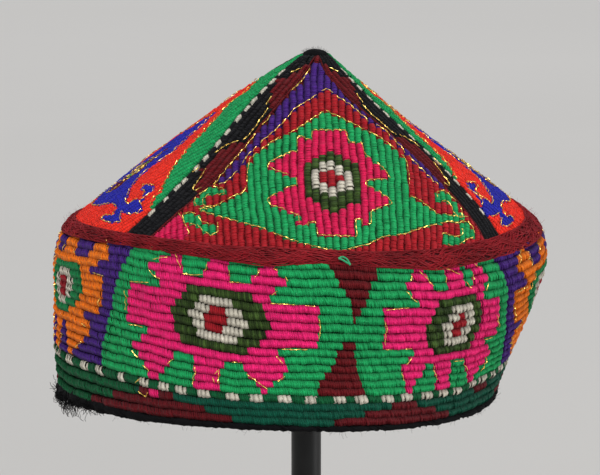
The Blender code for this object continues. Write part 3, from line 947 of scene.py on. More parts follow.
# The ribs of the front and back spread apart a little round the eye.
eyeLook = {"middle": 3.3, "level": 93.0, "lean": 0.05, "push": 1.2, "reach": 2.2, "height": 14.0}
stripLook = dict(crownLook, rise=1.15, sink=0.95, slant=6.0, uneven=0.03, drift=0.2, thickWhite=False)
stripRibs = (0.08, 0.18, 0.18, 0.18, 0.18, 0.2)     # shares of a strip, from the front or back gore's side
thinRise = {0: 0.8, 5: 0.8}                          # the outer ribs of a strip are lower

# A shape is a colour and the corners of its outline, as the distance from the gore's middle line and the
# level above the hem. Later shapes lie over earlier ones. The first two lines are edges that the maroon and
# the purple shape share.
rightEdge = (
    (52, 90), (46.5, 94), (41, 98.5), (35.5, 103), (30, 107.5), (24.5, 113), (19, 117), (14, 120.5),
    (10.5, 123.5), (7.5, 126.8), (4.6, 130), (2, 133.6), (0.8, 133.6),
)
leftEdge = (
    (-1, 132.6), (-3.7, 129), (-5.8, 126.4), (-10.7, 122.8), (-16.5, 117.6), (-19.6, 114),
    (-23.6, 110.4), (-27.8, 106), (-31.2, 103), (-36.6, 98.2), (-40.2, 94.8),
)
frontGore = (
    ("crimson", (
        (-90, 60), (90, 60), (90, 140), (-90, 140),
    )),
    ("maroon", (
        (-90, 60), (-90, 140), (90, 140), (90, 60), (62, 80), (55, 85), *rightEdge, *leftEdge,
        (-43.5, 91.5), (-60, 82),
    )),
    ("purple", (
        *rightEdge[::-1], (50, 88.5), (45, 91.5), (41, 95), (37, 98.4), (33, 102.4), (29, 106.4),
        (26, 109.2), (20, 112.2), (15.5, 116.2), (12.4, 118.6), (8.4, 121), (6, 123), (3.9, 123.8),
        (1.1, 122.2), (-3.6, 120), (-9.2, 117.4), (-13.8, 113), (-17.2, 110.4), (-22.6, 106.8),
        (-24.8, 105), (-30, 100.8), (-32, 97.8), (-38.5, 92.6), (-43.5, 91.2), *leftEdge[::-1],
    )),
    ("green", (
        (3.5, 116.5), (0, 115), (-3, 113.5), (-6, 112), (-10, 110), (-16, 107.8), (-20, 106),
        (-24, 103.5), (-28, 101), (-30, 95), (-31, 90.5), (-33, 89), (-37, 87.5), (-41, 85.5),
        (-44, 84), (-48, 83.5), (-51, 82), (-44, 80.5), (-36, 79), (-31, 78), (-26, 77), (-22, 75.5),
        (-17, 74), (-12, 73), (-8, 72), (0, 70.8), (5, 71), (10, 72), (15, 73), (20, 75), (24, 75.5),
        (30, 75.8), (35, 77), (40, 77.8), (50, 78.5), (55, 77.5), (60, 79), (52, 80), (48, 80.8),
        (45, 81), (41, 83.5), (38, 85.5), (36, 86.5), (34, 87), (34.5, 93), (34.5, 98), (31, 101.5),
        (27, 104.5), (23, 107), (18, 109.5), (15, 111), (12, 112.5), (8, 114.5), (6, 115.2),
    )),
    ("green", (
        (-51, 82.5), (-52.5, 85), (-50.5, 88.5), (-46, 91), (-40, 90.5), (-39.5, 88.5), (-43, 88.3),
        (-46, 88), (-48.5, 86.5), (-49, 84), (-45, 83),
    )),
    ("green", (
        (-58, 77), (-55, 76.5), (-52.3, 76.5), (-50, 74.5), (-47, 73), (-44, 74.8), (-43.8, 78),
        (-47, 77.3), (-50, 77.6), (-52, 80.5), (-55, 81), (-58, 80),
    )),
    ("green", (
        (46, 85), (51, 84.5), (54, 79.5), (57, 79), (57, 82.5), (53, 86), (50, 87.8), (46, 87.6),
    )),
    ("green", (
        (46, 72.5), (50, 70.8), (54, 71.2), (57, 72), (59, 72.5), (63, 72.6), (62, 75.5), (60, 77.5),
        (56, 78), (56, 74), (53, 73.6), (50, 74.2), (46, 75.5),
    )),
    ("rose", (
        (-2.5, 110), (10.5, 109.5), (11.5, 107), (12, 105.3), (16.5, 105.2), (17, 103), (18, 100.5),
        (20, 99.5), (23, 97.5), (25, 95.5), (26.5, 93), (22, 93), (18, 93), (16.5, 92.7), (16.5, 91.3),
        (20, 90), (23, 88), (25, 87), (26, 85), (24, 85), (20, 84), (17, 83), (16.5, 79.3), (13, 79.3),
        (13, 80.8), (10.5, 80.8), (10.3, 75.5), (-5, 75.5), (-5.5, 79.8), (-8.5, 79.8), (-8.5, 78.7),
        (-12, 78.9), (-12, 82), (-16, 83), (-19, 84.5), (-22, 85), (-23.5, 86.5), (-23, 87.5),
        (-20, 89), (-17, 90.3), (-14, 91.5), (-11, 91.8), (-11, 94.5), (-14, 95.3), (-17, 96.5),
        (-20, 97.5), (-22, 98.5), (-21, 99.5), (-18, 101), (-15, 102), (-12, 103.2), (-9.5, 103),
        (-9, 108), (-6, 108), (-6, 107), (-3.5, 107),
    )),
    ("olive", (
        (-8, 88), (-5, 88), (-5, 86.2), (-1.8, 86.2), (-1.8, 84), (1.4, 84), (1.4, 82.8), (5.2, 82.8),
        (5.2, 84), (8.4, 84), (8.4, 85.8), (14.8, 85.8), (14.8, 98.6), (11.7, 98.6), (11.7, 99.8),
        (8.6, 99.8), (8.6, 101.7), (5.4, 101.7), (5.4, 103.1), (1.6, 103.1), (1.6, 101.9),
        (-1.6, 101.9), (-1.6, 101.2), (-4.7, 101.2), (-4.7, 99.6), (-8, 99.6),
    )),
    ("white", (
        (-5, 91.2), (-1.8, 91.2), (-1.8, 89.4), (1.5, 89.4), (1.5, 88.4), (5.1, 88.4), (5.1, 90),
        (8.3, 90), (8.3, 90.6), (11.6, 90.6), (11.6, 96.1), (8.4, 96.1), (8.4, 97.7), (5.2, 97.7),
        (5.2, 99.6), (1.6, 99.6), (1.6, 98.8), (-1.7, 98.8), (-1.7, 97), (-5, 97),
    )),
    ("core", (
        (-1.8, 92.5), (1.6, 92.5), (1.6, 91.1), (5.1, 91.1), (5.1, 92.8), (8.3, 92.8), (8.3, 95.1),
        (5.1, 95.1), (5.1, 97.2), (1.6, 97.2), (1.6, 96.4), (-1.7, 96.4),
    )),
    ("rose", (
        (-74, 69), (-60, 69), (-56, 73), (-58, 78), (-62, 82), (-70, 80),
    )),
)

# The side gores mirror one half of this, which reads from the middle line towards the ridge.
sideGoreHalf = (
    ("green", (
        (0, 125), (6, 121.6), (8, 117.6), (9.2, 113.4), (16.5, 111), (19.5, 108.5), (23, 105.8),
        (30, 100.2), (36, 95.5), (42.7, 92), (51, 87), (55, 83), (60, 81), (68, 79), (90, 79),
        (90, 140), (0, 140),
    )),
    ("blue", (
        (0, 111.5), (6.3, 107), (8, 104), (14.9, 100), (16.7, 95), (16.6, 91.5), (18, 88.5), (25, 85.5),
        (34, 82.8), (39, 81), (44, 80.6), (46, 84), (42, 86), (37, 86), (34, 87.5), (42, 88.6),
        (47, 86.5), (49, 82), (52, 81.5), (56, 80.5), (58, 78), (54, 77.2), (47, 77.5), (51, 75.5),
        (56, 74), (52, 73), (45, 73), (39, 73.5), (39, 75), (44, 75.5), (42, 77.3), (37, 78.8),
        (29, 79), (16, 76.5), (0, 75),
    )),
    ("maroon", (
        (0, 98), (2, 95.5), (1, 94), (4.5, 91.5), (6.5, 89), (4.5, 86.5), (3, 85), (6.5, 83), (5, 81),
        (0, 79.5),
    )),
    ("green", (
        (0, 92.5), (1.8, 91), (2.6, 89), (1.8, 87), (0, 85.5),
    )),
    ("white", (
        (0, 90.5), (1.3, 89.5), (1.3, 88.2), (0, 87.2),
    )),
)
gores = {   # the lean is how far the pattern leans near the tip
    "front": {"middle": 3.0, "lean": 0.0, "pattern": "front_back_gore",
              "ridges": ("front_left", "front_right")},
    "right": {"middle": 94.0, "lean": -5.0, "pattern": "side_gore",
              "ridges": ("front_right", "back_right")},
    "back": {"middle": 180.0, "lean": 0.0, "pattern": "front_back_gore",
             "ridges": ("back_right", "back_left")},
    "left": {"middle": 266.0, "lean": -6.0, "pattern": "side_gore",
             "ridges": ("back_left", "front_left")},
}
leanLevels = (98.0, 112.0)
ungilded = ("crimson", "fire", "olive", "white", "core")     # no gold runs round these
stripPlan = {
    # for the four ribs next to the first, the levels where the colour changes on the way down
    "changes": (
        (132.2, 118, 106.5, 88.6), (130, 119.8, 106, 90), (127.9, 123, 103.5, 94), (127.5, 126, 97, 96),
    ),
    "checks": (129.5, 126.5, 123.5, 120, 117.3, 113.8, 109.5, 105.3, 100.5, 97, 92.5, 89.5, 85, 79.5),
    "checkHeight": 2.1,
    "checkSlant": 40.0,
    # gold lines on a strip, as its share from the front or back gore's side and the level
    "gold": (
        ((0.32, 118.6), (0.34, 119.6), (0.39, 121.5)),
        ((0.19, 117.6), (0.13, 112.0), (0.12, 108.0), (0.17, 106.8)),
        ((0.66, 102.0), (0.55, 104.2), (0.42, 105.8), (0.28, 106.6)),
        ((0.52, 96.6), (0.42, 92.5), (0.3, 89.2)),
        ((0.84, 97.6), (0.78, 96.8), (0.8, 95.4), (0.86, 95.0)),
        ((0.22, 131.0), (0.34, 130.4), (0.45, 129.4)),
        ((0.12, 90.2), (0.2, 88.8), (0.3, 89.2), (0.42, 91.0)),
    ),
}


def inside(outline, x, y):
    corners = np.array(outline, float)
    found = np.zeros(len(x), bool)
    for (x0, y0), (x1, y1) in zip(corners, np.roll(corners, -1, axis=0)):
        if y0 != y1:
            crosses = (y0 > y) != (y1 > y)
            found ^= crosses & (x < x0 + (y - y0) * (x1 - x0) / (y1 - y0))
    return found


def shapesOf(pattern):
    return frontGore if pattern == "front_back_gore" else sideGoreHalf


def leanAt(gore, levels):
    return np.interp(levels, leanLevels, (0, gore["lean"]))


def goreColours(name, offsets, levels):
    gore = gores[name]
    mirrored = gore["pattern"] == "side_gore"
    where = np.abs(offsets - leanAt(gore, levels)) if mirrored else offsets
    colours = np.full(len(where), code("fire" if mirrored else "crimson"))
    for colour, outline in shapesOf(gore["pattern"]):
        colours[inside(outline, where, levels)] = code(colour)
    return colours


def ribOffset(pattern, number, levels):
    # Where a gore's rib runs, as a distance from the gore's middle line.
    if pattern == "side_gore":
        return number * crownLook["rib"] + 0.0 * levels
    spread = eyeLook["push"] * np.exp(-((levels - eyeLook["level"]) / eyeLook["height"]) ** 2)
    return (eyeLook["middle"] + eyeLook["lean"] * (levels - eyeLook["level"]) + number * crownLook["rib"]
            + spread * math.tanh(number / eyeLook["reach"]))


def fromRib(pattern, offsets, levels):
    # How far a place is from the middle of its rib.
    gaps = np.stack([offsets - ribOffset(pattern, number, levels) for number in goreRibs])
    nearest = np.abs(gaps).argmin(axis=0)[None]
    return np.take_along_axis(gaps, nearest, axis=0)[0]


def goreEdges(name, levels):
    # Where a gore meets its two strips, as distances from its middle line.
    gore = gores[name]
    edges = []
    for ridge, side in zip(gore["ridges"], (1.0, -1.0)):
        toRidge = np.radians(signed(ridgeAngle(ridge, levels) - gore["middle"])) * meanRadius(levels)
        edges.append(toRidge + side * (stripWidth(ridge, levels) / 2 + crownLook["seam"]))
    return edges


def offsetAngle(middle, offsets, levels):
    return middle + np.degrees(offsets / meanRadius(levels))


def stitchLevels():
    return np.arange(crownLook["low"], crownLook["stitchHigh"] + 0.1, crownLook["step"])


def addGoreStitches(name, tree, material, draw):
    middle, pattern = gores[name]["middle"], gores[name]["pattern"]
    levels = stitchLevels()
    left, right = goreEdges(name, levels)
    ribs = []
    for number in goreRibs:
        offset = ribOffset(pattern, number, levels)
        half = (ribOffset(pattern, number + 1, levels) - ribOffset(pattern, number - 1, levels)) / 4
        fromLeft, fromRight = offset - left, right - offset
        room = np.minimum(fromLeft, fromRight) + crownLook["roomBeyond"]     # what the gore's edge leaves
        kept = room > -half * crownLook["leastRoom"]
        if kept.sum() < 4:
            continue
        here, full, path = levels[kept], half[kept], offset[kept]
        halfWidths = np.clip((room[kept] + full) / 2, full * crownLook["leastWidth"], full)
        inward = np.where(fromLeft < fromRight, 1.0, -1.0)[kept] * (full - halfWidths)
        ribs.append(layRib(offsetAngle(middle, path + inward, here), here, halfWidths,
                           lambda angle, level: goreColours(name, np.interp(level, here, path), level),
                           crownLook, draw))
    addStitches("goreStitches" + name.capitalize(), ribs, tree, material, crownLook["bendSteps"])


def stripSide(ridge):
    return -1.0 if ridge in ("front_left", "back_right") else 1.0


def stripLabel(ridge):
    return "".join(word.capitalize() for word in ridge.split("_"))


def stripColours(number, levels):
    # Maroon at the gore's side, then black with maroon patches, and white checks on the last rib.
    if number == 0:
        return np.full(len(levels), code("maroon"))
    if number <= len(stripPlan["changes"]):
        passed = sum((levels < change).astype(int) for change in stripPlan["changes"][number - 1])
        return np.where(passed % 2 == 1, code("maroon"), code("black"))
    colours = np.full(len(levels), code("black"))
    for check in stripPlan["checks"]:
        colours[np.abs(levels - check) < stripPlan["checkHeight"] / 2] = code("white")
    return colours


def stripPath(ridge, place, levels):
    return offsetAngle(ridgeAngle(ridge, levels), place * stripWidth(ridge, levels), levels)


def addStripStitches(ridge, tree, material, draw):
    levels = stitchLevels()
    side = stripSide(ridge)
    start = 0.5
    ribs = []
    for number, share in enumerate(stripRibs):
        look = dict(stripLook, rise=stripLook["rise"] * thinRise.get(number, 1.0))
        if number == len(stripRibs) - 1:
            look["slant"] = side * stripPlan["checkSlant"]
        ribs.append(layRib(stripPath(ridge, -side * (start - share / 2), levels), levels,
                           share / 2 * stripWidth(ridge, levels),
                           lambda angle, level: stripColours(number, level), look, draw))
        start -= share
    addStitches("stripStitches" + stripLabel(ridge), ribs, tree, material, stripLook["bendSteps"])


# The cloth under the stitches: dark outside, as painted shade in the gaps between the stitches and ribs, and
# plain quilted cotton inside

clothLook = {"outerDepth": 1.05, "ribRelief": 0.35, "quiltRelief": 0.25, "bandSteps": 144, "goreSteps": 100,
             "crownLevels": 25, "stripSteps": 25, "seamWidth": 0.05}


def wallPiece(name, angles, levels, relief, materials, closed=False):
    # A wall of the hat: an outer and an inner sheet. It is closed round the hat, or at all its edges.
    # Angles and relief are tables with a row for each level.
    outer, inner = (
        hatPoints(angles, levels, depth + height * relief).reshape(*angles.shape, 3)
        for depth, height in ((-clothLook["outerDepth"], clothLook["ribRelief"]),
                              (-hatShape["wall"], -clothLook["quiltRelief"])))
    rows, columns = angles.shape
    if closed:
        mesh = gridMesh(name, np.concatenate((outer, inner[::-1])), closeRows=True, closeColumns=True)
        slots = np.repeat(np.arange(2 * rows) >= rows, columns)
    else:
        mesh = gridMesh(name, np.concatenate((outer, inner[:, ::-1]), axis=1), closeColumns=True)
        slots = np.tile(np.arange(2 * columns) >= columns, rows - 1)
        maker = bmesh.new()
        maker.from_mesh(mesh)
        maker.verts.ensure_lookup_table()
        last = (rows - 1) * 2 * columns
        for i in range(columns - 1):
            corners = (i, i + 1, 2 * columns - 2 - i, 2 * columns - 1 - i)
            maker.faces.new([maker.verts[corner] for corner in reversed(corners)])
            maker.faces.new([maker.verts[last + corner] for corner in corners])
        maker.to_mesh(mesh)
        maker.free()
        slots = np.concatenate((slots, np.zeros(2 * (columns - 1), bool)))
    mesh.polygons.foreach_set("material_index", slots.astype(np.int32))
    return addMesh(name, closedAndOutward(mesh), materials)


def addCloth(shadeDarkCloth, lining):
    cloths = [shadeDarkCloth, lining]
    places = np.arange(clothLook["bandSteps"]) * 360.0 / clothLook["bandSteps"]
    levels = np.linspace(bandLook["low"], bandLook["high"], ribLines["ribs"] * 3 + 1)[:, None]
    relief = -np.cos(2 * math.pi * ribPlace(places, levels))
    band = wallPiece("bandCloth", np.tile(places, (len(levels), 1)), levels, relief, cloths, True)
    pieces = [finishPiece(band, "band")]
    levels = np.linspace(crownLook["low"], crownLook["high"], clothLook["crownLevels"])[:, None]
    shares = np.linspace(0.0, 1.0, clothLook["goreSteps"])
    for name, gore in gores.items():
        left, right = goreEdges(name, levels)
        offsets = left + (right - left) * shares
        relief = np.cos(fromRib(gore["pattern"], offsets, levels) / crownLook["rib"] * 2 * math.pi)
        angles = offsetAngle(gore["middle"], offsets, levels)
        panel = wallPiece("goreCloth" + name.capitalize(), angles, levels, relief, cloths)
        pieces.append(finishPiece(panel, "crown_panel_" + name))
    seams = 0.5 - np.concatenate(([0.0], np.cumsum(stripRibs)))
    places = np.linspace(-0.5, 0.5, clothLook["stripSteps"])
    for ridge in hatShape["ridges"]:
        fromSeam = np.abs(-stripSide(ridge) * places[:, None] - seams).min(axis=1)
        relief = np.clip(fromSeam / clothLook["seamWidth"], 0, 2) - 1
        strip = wallPiece("stripCloth" + stripLabel(ridge), stripPath(ridge, places, levels), levels,
                          np.tile(relief, (len(levels), 1)), cloths)
        finishPiece(strip, "ridge_strip_" + ridge)
    print("cloth made")


# Yarns and fuzz

def addLines(name, lines, closed):
    edges = []
    start = 0
    for line in lines:
        end = start + len(line)
        edges += [(i, i + 1) for i in range(start, end - 1)]
        if closed:
            edges.append((end - 1, start))
        start = end
    mesh = bpy.data.meshes.new(name)
    mesh.from_pydata(np.concatenate(lines).tolist(), edges, [])
    return addThing(name, mesh)


def addThreads(name, lines, tree, settings, material, closed=False):
    source = addLines(name + " lines", lines, closed)
    finishPiece(bakeNodes(name, source, tree, dict(settings, material=material)))


def addFuzz(name, surface, tree, settings, material):
    skin = addThing(name + " skin", surface.data.copy())
    finishPiece(bakeNodes(name, skin, tree, dict(settings, material=material)))


def throughCorners(corners, count):
    # Even places along a line of corners: how far along each is, then the corners' two values there.
    along = np.linspace(0, len(corners) - 1, count)
    first, second = (np.interp(along, range(len(corners)), column) for column in np.array(corners).T)
    return along, first, second


# The plait over the seam: a loose, flat twist of many fine yarns that cross each other, over a soft core
# whose deep maroon is painted shade in the gaps between the yarns

plaitLook = {
    "out": 0.5, "depth": 1.0, "yarns": 56, "steps": 420,
    "core": {"steps": 160, "sides": 12, "size": 0.95, "sink": 0.55},
    "start": 0.75, "reach": 1.12, "bulge": 1.25, "leastBulge": 0.05, "outShares": (0.35, 0.65),
    # the fewest and most waves round the hat, and their size
    "waves": ((6, 16, 0.8), (18, 30, 0.45), (34, 52, 0.16)),
    "outWaves": ((6, 15, 0.6), (17, 40, 0.5)),
    # angle, then the level of its middle and half its height
    "path": np.array((
        (-48, 67.6, 1.9), (-36, 67.4, 2.2), (-24, 66.9, 2.1), (-13, 67.0, 2.9), (0, 68.4, 1.9),
        (12, 67.7, 2.1), (20, 67.5, 2.4), (28, 66.9, 2.9), (42, 67.8, 2.7), (56, 68.2, 2.7),
        (100, 67.8, 2.4), (180, 67.6, 2.3), (260, 67.8, 2.2))),
    "yarn": {"radius": 0.00025, "sides": 3, "spacing": 0.003, "wander": 0.0008, "wander scale": 240.0},
    "fuzz": {"hairs per square metre": 180000.0, "hair length": 0.0036, "hair radius": 0.00003, "lean": 1.25},
    # a green end that was left lying on it
    "loop": {"corners": ((4.1, 67.3), (5.0, 67.1), (6.0, 66.3), (6.6, 65.4)), "strands": 2, "steps": 24,
             "apart": 1.2, "out": 2.1, "bow": 0.5},
    "loopYarn": {"radius": 0.00038, "sides": 6, "spacing": 0.0005, "wander": 0.0004},
}


def loopWander(draw, turn, waves):
    # An uneven closed curve round the hat.
    return sum(size * np.sin(int(draw.integers(low, high)) * turn + draw.uniform(0, 2 * math.pi))
               for low, high, size in waves)


def turnsOf(count):
    return np.linspace(0, 2 * math.pi, count, endpoint=False)


def addPlait(threadTree, fuzzTree, wool, gapShadeWool, greenWool):
    draw = np.random.default_rng(7)
    core, loop = plaitLook["core"], plaitLook["loop"]
    angles = np.linspace(0.0, 360.0, core["steps"], endpoint=False)
    middle, half = tableRound(plaitLook["path"], angles)
    rows = [hatPoints(angles, middle + core["size"] * half * math.cos(t),
                      plaitLook["out"] - core["sink"] + core["size"] * math.sin(t))
            for t in turnsOf(core["sides"])]
    # the core's deep maroon stands in as painted shade between the yarns
    soft = addRound("plaitCore", rows, gapShadeWool, "seam_braid", True)
    turn = turnsOf(plaitLook["steps"])
    angles = np.degrees(turn)
    middle, half = tableRound(plaitLook["path"], angles)
    steady, uneven = plaitLook["outShares"]
    reach = plaitLook["reach"]
    lines = []
    for _ in range(plaitLook["yarns"]):
        start = draw.uniform(-plaitLook["start"], plaitLook["start"])
        high = np.clip(start + loopWander(draw, turn, plaitLook["waves"]), -reach, reach)
        bulge = np.sqrt(np.clip(1 - (high / plaitLook["bulge"]) ** 2, plaitLook["leastBulge"], 1))
        out = bulge * (steady + uneven * loopWander(draw, turn, plaitLook["outWaves"]))
        lines.append(hatPoints(angles, middle + high * half, plaitLook["out"] + plaitLook["depth"] * out))
    addThreads("plaitYarns", lines, threadTree, plaitLook["yarn"], wool, closed=True)
    addFuzz("plaitFuzz", soft, fuzzTree, plaitLook["fuzz"], wool)
    along, angle, level = throughCorners(loop["corners"], loop["steps"])
    bow = np.sin(along / along[-1] * math.pi)
    strands = [hatPoints(angle, level + bow * (strand - (loop["strands"] - 1) / 2) * loop["apart"],
                         loop["out"] + loop["bow"] * bow) for strand in range(loop["strands"])]
    addThreads("strayLoop", strands, threadTree, plaitLook["loopYarn"], greenWool)
    print("plait made")


# The hem's roll. It is thicker and sits higher where it was joined, at the front left.

hemLook = {
    "halfHeight": 1.4, "halfWidth": 2.4, "out": 0.2, "steps": 240, "sides": 12,
    "perDegree": 1.7, "lump": ((23.0, 11.3, 6.1), 0.12),      # millimetres round the hem, then its waves
    "raisedFrom": -92.0, "raisedTo": -38.0, "raised": 1.25, "raisedShape": 0.7,
    "twist": {"yarns": 4, "turns": 46, "height": 1.05, "width": 1.1},
    "yarn": {"radius": 0.00038, "sides": 4, "spacing": 0.0022, "wander": 0.0007},
    "fuzz": {"hairs per square metre": 130000.0, "hair length": 0.0028, "hair radius": 0.00004, "lean": 1.2,
             "seed": 8},
    # matted loose ends at the join, in bunches, then single hairs. Pairs are the least and the most.
    "tuft": {"bunches": 36, "strands": 13, "angles": (-84, -50), "sweep": (-6.0, 2.5), "drop": (0.4, 2.6),
             "out": (0.4, 2.2), "longBefore": -62, "long": 1.25, "short": 0.6, "top": 2.6, "from": 0.4,
             "rootSpread": 1.2, "bendSpread": 2.0, "reach": (0.4, 1.2), "fall": 1.5, "flutter": 0.7,
             "bulge": (0.6, 1.3), "curl": 2.4},
    "hairs": {"count": 45, "angles": (-90, -48), "sweep": (-6, 4), "fall": (-3.5, 4.5), "away": (0.8, 4.0),
              "top": 1.5, "from": 0.4},
    "tuftYarn": {"radius": 0.0001, "sides": 3, "spacing": 0.001, "wander": 0.0045, "wander scale": 300.0},
}


def hemRing(angles, raised, up, out):
    # A line round the roll, whose height and width from its middle are given as shares.
    height = hemLook["halfHeight"] + 0.5 * raised
    return hatPoints(angles, height * (1 + up) + 0.5 * raised,
                     -hatShape["wall"] / 2 + hemLook["out"] + hemLook["halfWidth"] * out)


def hemTuft(draw):
    look, hairs = hemLook["tuft"], hemLook["hairs"]
    t = np.linspace(0, 1, 7)
    lines = []
    for _ in range(look["bunches"]):
        root = draw.uniform(*look["angles"])
        sweep = draw.uniform(*look["sweep"])
        drop = draw.uniform(*look["drop"]) * (look["long"] if root < look["longBefore"] else look["short"])
        out = draw.uniform(*look["out"])
        for _ in range(look["strands"]):
            angle = root + draw.normal(0, look["rootSpread"])
            reach = drop * draw.uniform(*look["reach"])
            bend = sweep + draw.normal(0, look["bendSpread"])
            level = look["top"] - reach * t * look["fall"] + look["flutter"] * draw.normal() * t * t
            away = look["from"] + out * draw.uniform(*look["bulge"]) * np.sin(t * look["curl"])
            lines.append(hatPoints(angle + bend * t * t, level, away))
    for _ in range(hairs["count"]):
        angle = draw.uniform(*hairs["angles"])
        fall, away = draw.uniform(*hairs["fall"]), draw.uniform(*hairs["away"])
        lines.append(hatPoints(angle + draw.uniform(*hairs["sweep"]) * t, hairs["top"] - fall * t * t,
                               hairs["from"] + away * t))
    return lines


def addHem(threadTree, fuzzTree, wool):
    draw = np.random.default_rng(19)
    angles = np.linspace(0.0, 360.0, hemLook["steps"], endpoint=False)
    lump = 1 + wander(draw, angles * hemLook["perDegree"], *hemLook["lump"])
    width = hemLook["raisedTo"] - hemLook["raisedFrom"]
    share = np.clip((signed(angles) - hemLook["raisedFrom"]) / width, 0, 1)
    raised = hemLook["raised"] * np.sin(share * math.pi) ** hemLook["raisedShape"]
    rows = [hemRing(angles, raised, lump * math.cos(t), lump * math.sin(t))
            for t in turnsOf(hemLook["sides"])]
    hem = addRound("hemRoll", rows, wool, "hem_binding", True)
    twist = hemLook["twist"]
    lines = []
    for yarn in range(twist["yarns"]):
        turn = np.radians(angles) * twist["turns"] + yarn * 2 * math.pi / twist["yarns"]
        lines.append(hemRing(angles, raised, twist["height"] * np.cos(turn), twist["width"] * np.sin(turn)))
    addThreads("hemYarns", lines, threadTree, hemLook["yarn"], wool, closed=True)
    addFuzz("hemFuzz", hem, fuzzTree, hemLook["fuzz"], wool)
    addThreads("hemTuft", hemTuft(draw), threadTree, hemLook["tuftYarn"], wool)
    print("hem made")


# The black felted tip

capLook = {
    "radius": 5.0, "rise": 2.4, "level": 134.9, "steps": 48, "lowest": -0.9, "rows": 16, "flatBelow": 0.55,
    "lump": ((120.0, 72.0, 40.0), 0.025),
    "fuzz": {"hairs per square metre": 2200000.0, "hair length": 0.0016, "hair radius": 0.00003, "lean": 1.3,
             "seed": 2},
}


def addApex(fuzzTree, felt):
    draw = np.random.default_rng(3)
    lean = tableAt(hatShape["sections"], np.array([capLook["level"]]))[0, 1]
    centre = np.array((hatShape["middleX"] + lean, 0.0, hatShape["hemHeight"] + capLook["level"]))
    turns = turnsOf(capLook["steps"])
    radius = capLook["radius"] * (1 + wander(draw, np.degrees(turns), *capLook["lump"]))
    rows = []
    for climb in np.linspace(capLook["lowest"], math.pi / 2, capLook["rows"]):
        flat = max(math.cos(climb), 0.0)
        height = capLook["rise"] * math.sin(climb) * (1.0 if climb > 0 else capLook["flatBelow"])
        rows.append(centre + np.stack((radius * flat * np.cos(turns), radius * flat * np.sin(turns),
                                       np.full(len(turns), height)), axis=1))
    rows.insert(0, np.repeat(rows[0].mean(axis=0)[None, :], len(turns), axis=0))
    cap = addRound("apexFelt", np.stack(rows) * mm, felt, "apex_cap")
    addFuzz("apexFuzz", cap, fuzzTree, capLook["fuzz"], felt)
    print("apex made")


# The gold thread, which shows in dashes along the edges of the colours

goldLook = {
    "dash": (7.0, 26.0), "gap": (0.5, 3.5), "shortest": 1.5,
    # how far it lies out: a share of what the rib stands out there, and millimetres
    "goreOut": (0.6, 0.3), "bandOut": (0.7, 0.4), "strayOut": (0.7, (0.2, 0.4)), "stripOut": 0.42,
    "goreWaves": ((3.1, 5.7), 0.06), "bandWaves": ((2.3, 4.1), 0.08), "stripWaves": ((2.3, 4.1), 0.1),
    "ribRise": 1.17, "goreLevels": (71.0, 131.0), "goreStep": 0.45, "middleGap": 0.3,
    # of the short strokes: how many are left out, how many are linked, and how far a link may reach
    "skip": 0.45, "linked": 0.75, "linkReach": (0.8, 12.0), "slope": 0.3, "steps": 9, "linkOut": (0.0, 0.2),
    "thread": {"radius": 0.00023, "flatness": 0.55, "sides": 4, "spacing": 0.0011, "wander": 0.0005,
               "wander scale": 420.0, "turns per metre": 190.0, "smooth": False},
}


def ribOut(look, halfWidth, fromMiddle):
    # How far a rib's threads stand out from the surface, across the rib.
    share = np.clip(np.abs(fromMiddle) / halfWidth, 0, 1)
    return look["rise"] * goldLook["ribRise"] * np.sqrt(1 - share ** 2) - look["sink"]


def bandOut(angles, levels, lift):
    return ribOut(bandLook, 0.5, ribPlace(angles, levels) % 1.0 - 0.5) * lift


def dashes(line, draw):
    # Cuts a line of points into the stretches where the gold shows.
    run = runAlong(line) / mm
    at = draw.uniform(0, goldLook["gap"][1])
    pieces = []
    while at < run[-1] - goldLook["shortest"]:
        end = min(at + draw.uniform(*goldLook["dash"]), run[-1])
        piece = line[(run >= at) & (run <= end)]
        if len(piece) > 3:
            pieces.append(piece)
        at = end + draw.uniform(*goldLook["gap"])
    return pieces


def goreGold(name, draw):
    gore = gores[name]
    pattern = gore["pattern"]
    mirrored = pattern == "side_gore"
    outlines = [outline for colour, outline in shapesOf(pattern) if colour not in ungilded]
    lift, above = goldLook["goreOut"]
    lowest, highest = goldLook["goreLevels"]
    lines = []
    for mirror in (1.0, -1.0) if mirrored else (1.0,):
        for outline in outlines:
            corners = np.array(outline + outline[:1], float)
            run = runAlong(corners)
            places = np.arange(0.0, run[-1], goldLook["goreStep"])
            levels = np.interp(places, run, corners[:, 1])
            offsets = mirror * np.interp(places, run, corners[:, 0])
            onMiddle = (np.abs(offsets) < goldLook["middleGap"]) & mirrored
            offsets += leanAt(gore, levels)
            safe = np.clip(levels, crownLook["low"], crownLook["high"])
            left, right = goreEdges(name, safe)
            inGore = (levels > lowest) & (levels < highest) & (offsets > left) & (offsets < right)
            inGore &= ~onMiddle
            out = ribOut(crownLook, crownLook["rib"] / 2, fromRib(pattern, offsets, safe)) * lift + above
            out += wander(draw, places, *goldLook["goreWaves"])
            points = hatPoints(offsetAngle(gore["middle"], offsets, safe), safe, out)
            for stretch in np.split(np.arange(len(places)), np.flatnonzero(np.diff(inGore)) + 1):
                if inGore[stretch[0]] and len(stretch) > 5:
                    lines += dashes(points[stretch], draw)
    return lines


def stripGold(ridge, draw):
    lines = []
    for corners in stripPlan["gold"]:
        along, share, level = throughCorners(corners, 12 * len(corners))
        out = goldLook["stripOut"] + wander(draw, along * 3, *goldLook["stripWaves"])
        lines.append(hatPoints(stripPath(ridge, -stripSide(ridge) * (0.5 - share), level), level, out))
    return lines


def drawnGold(draw):
    # The listed lines on the front and the left side.
    lift, above = goldLook["bandOut"]
    lines = []
    for corners in bandPlan["gold"]:
        along, angle, level = throughCorners(corners, 14 * len(corners))
        out = bandOut(angle, level, lift) + above + wander(draw, along * 3, *goldLook["bandWaves"])
        lines.append(hatPoints(angle, level, out))
    return lines


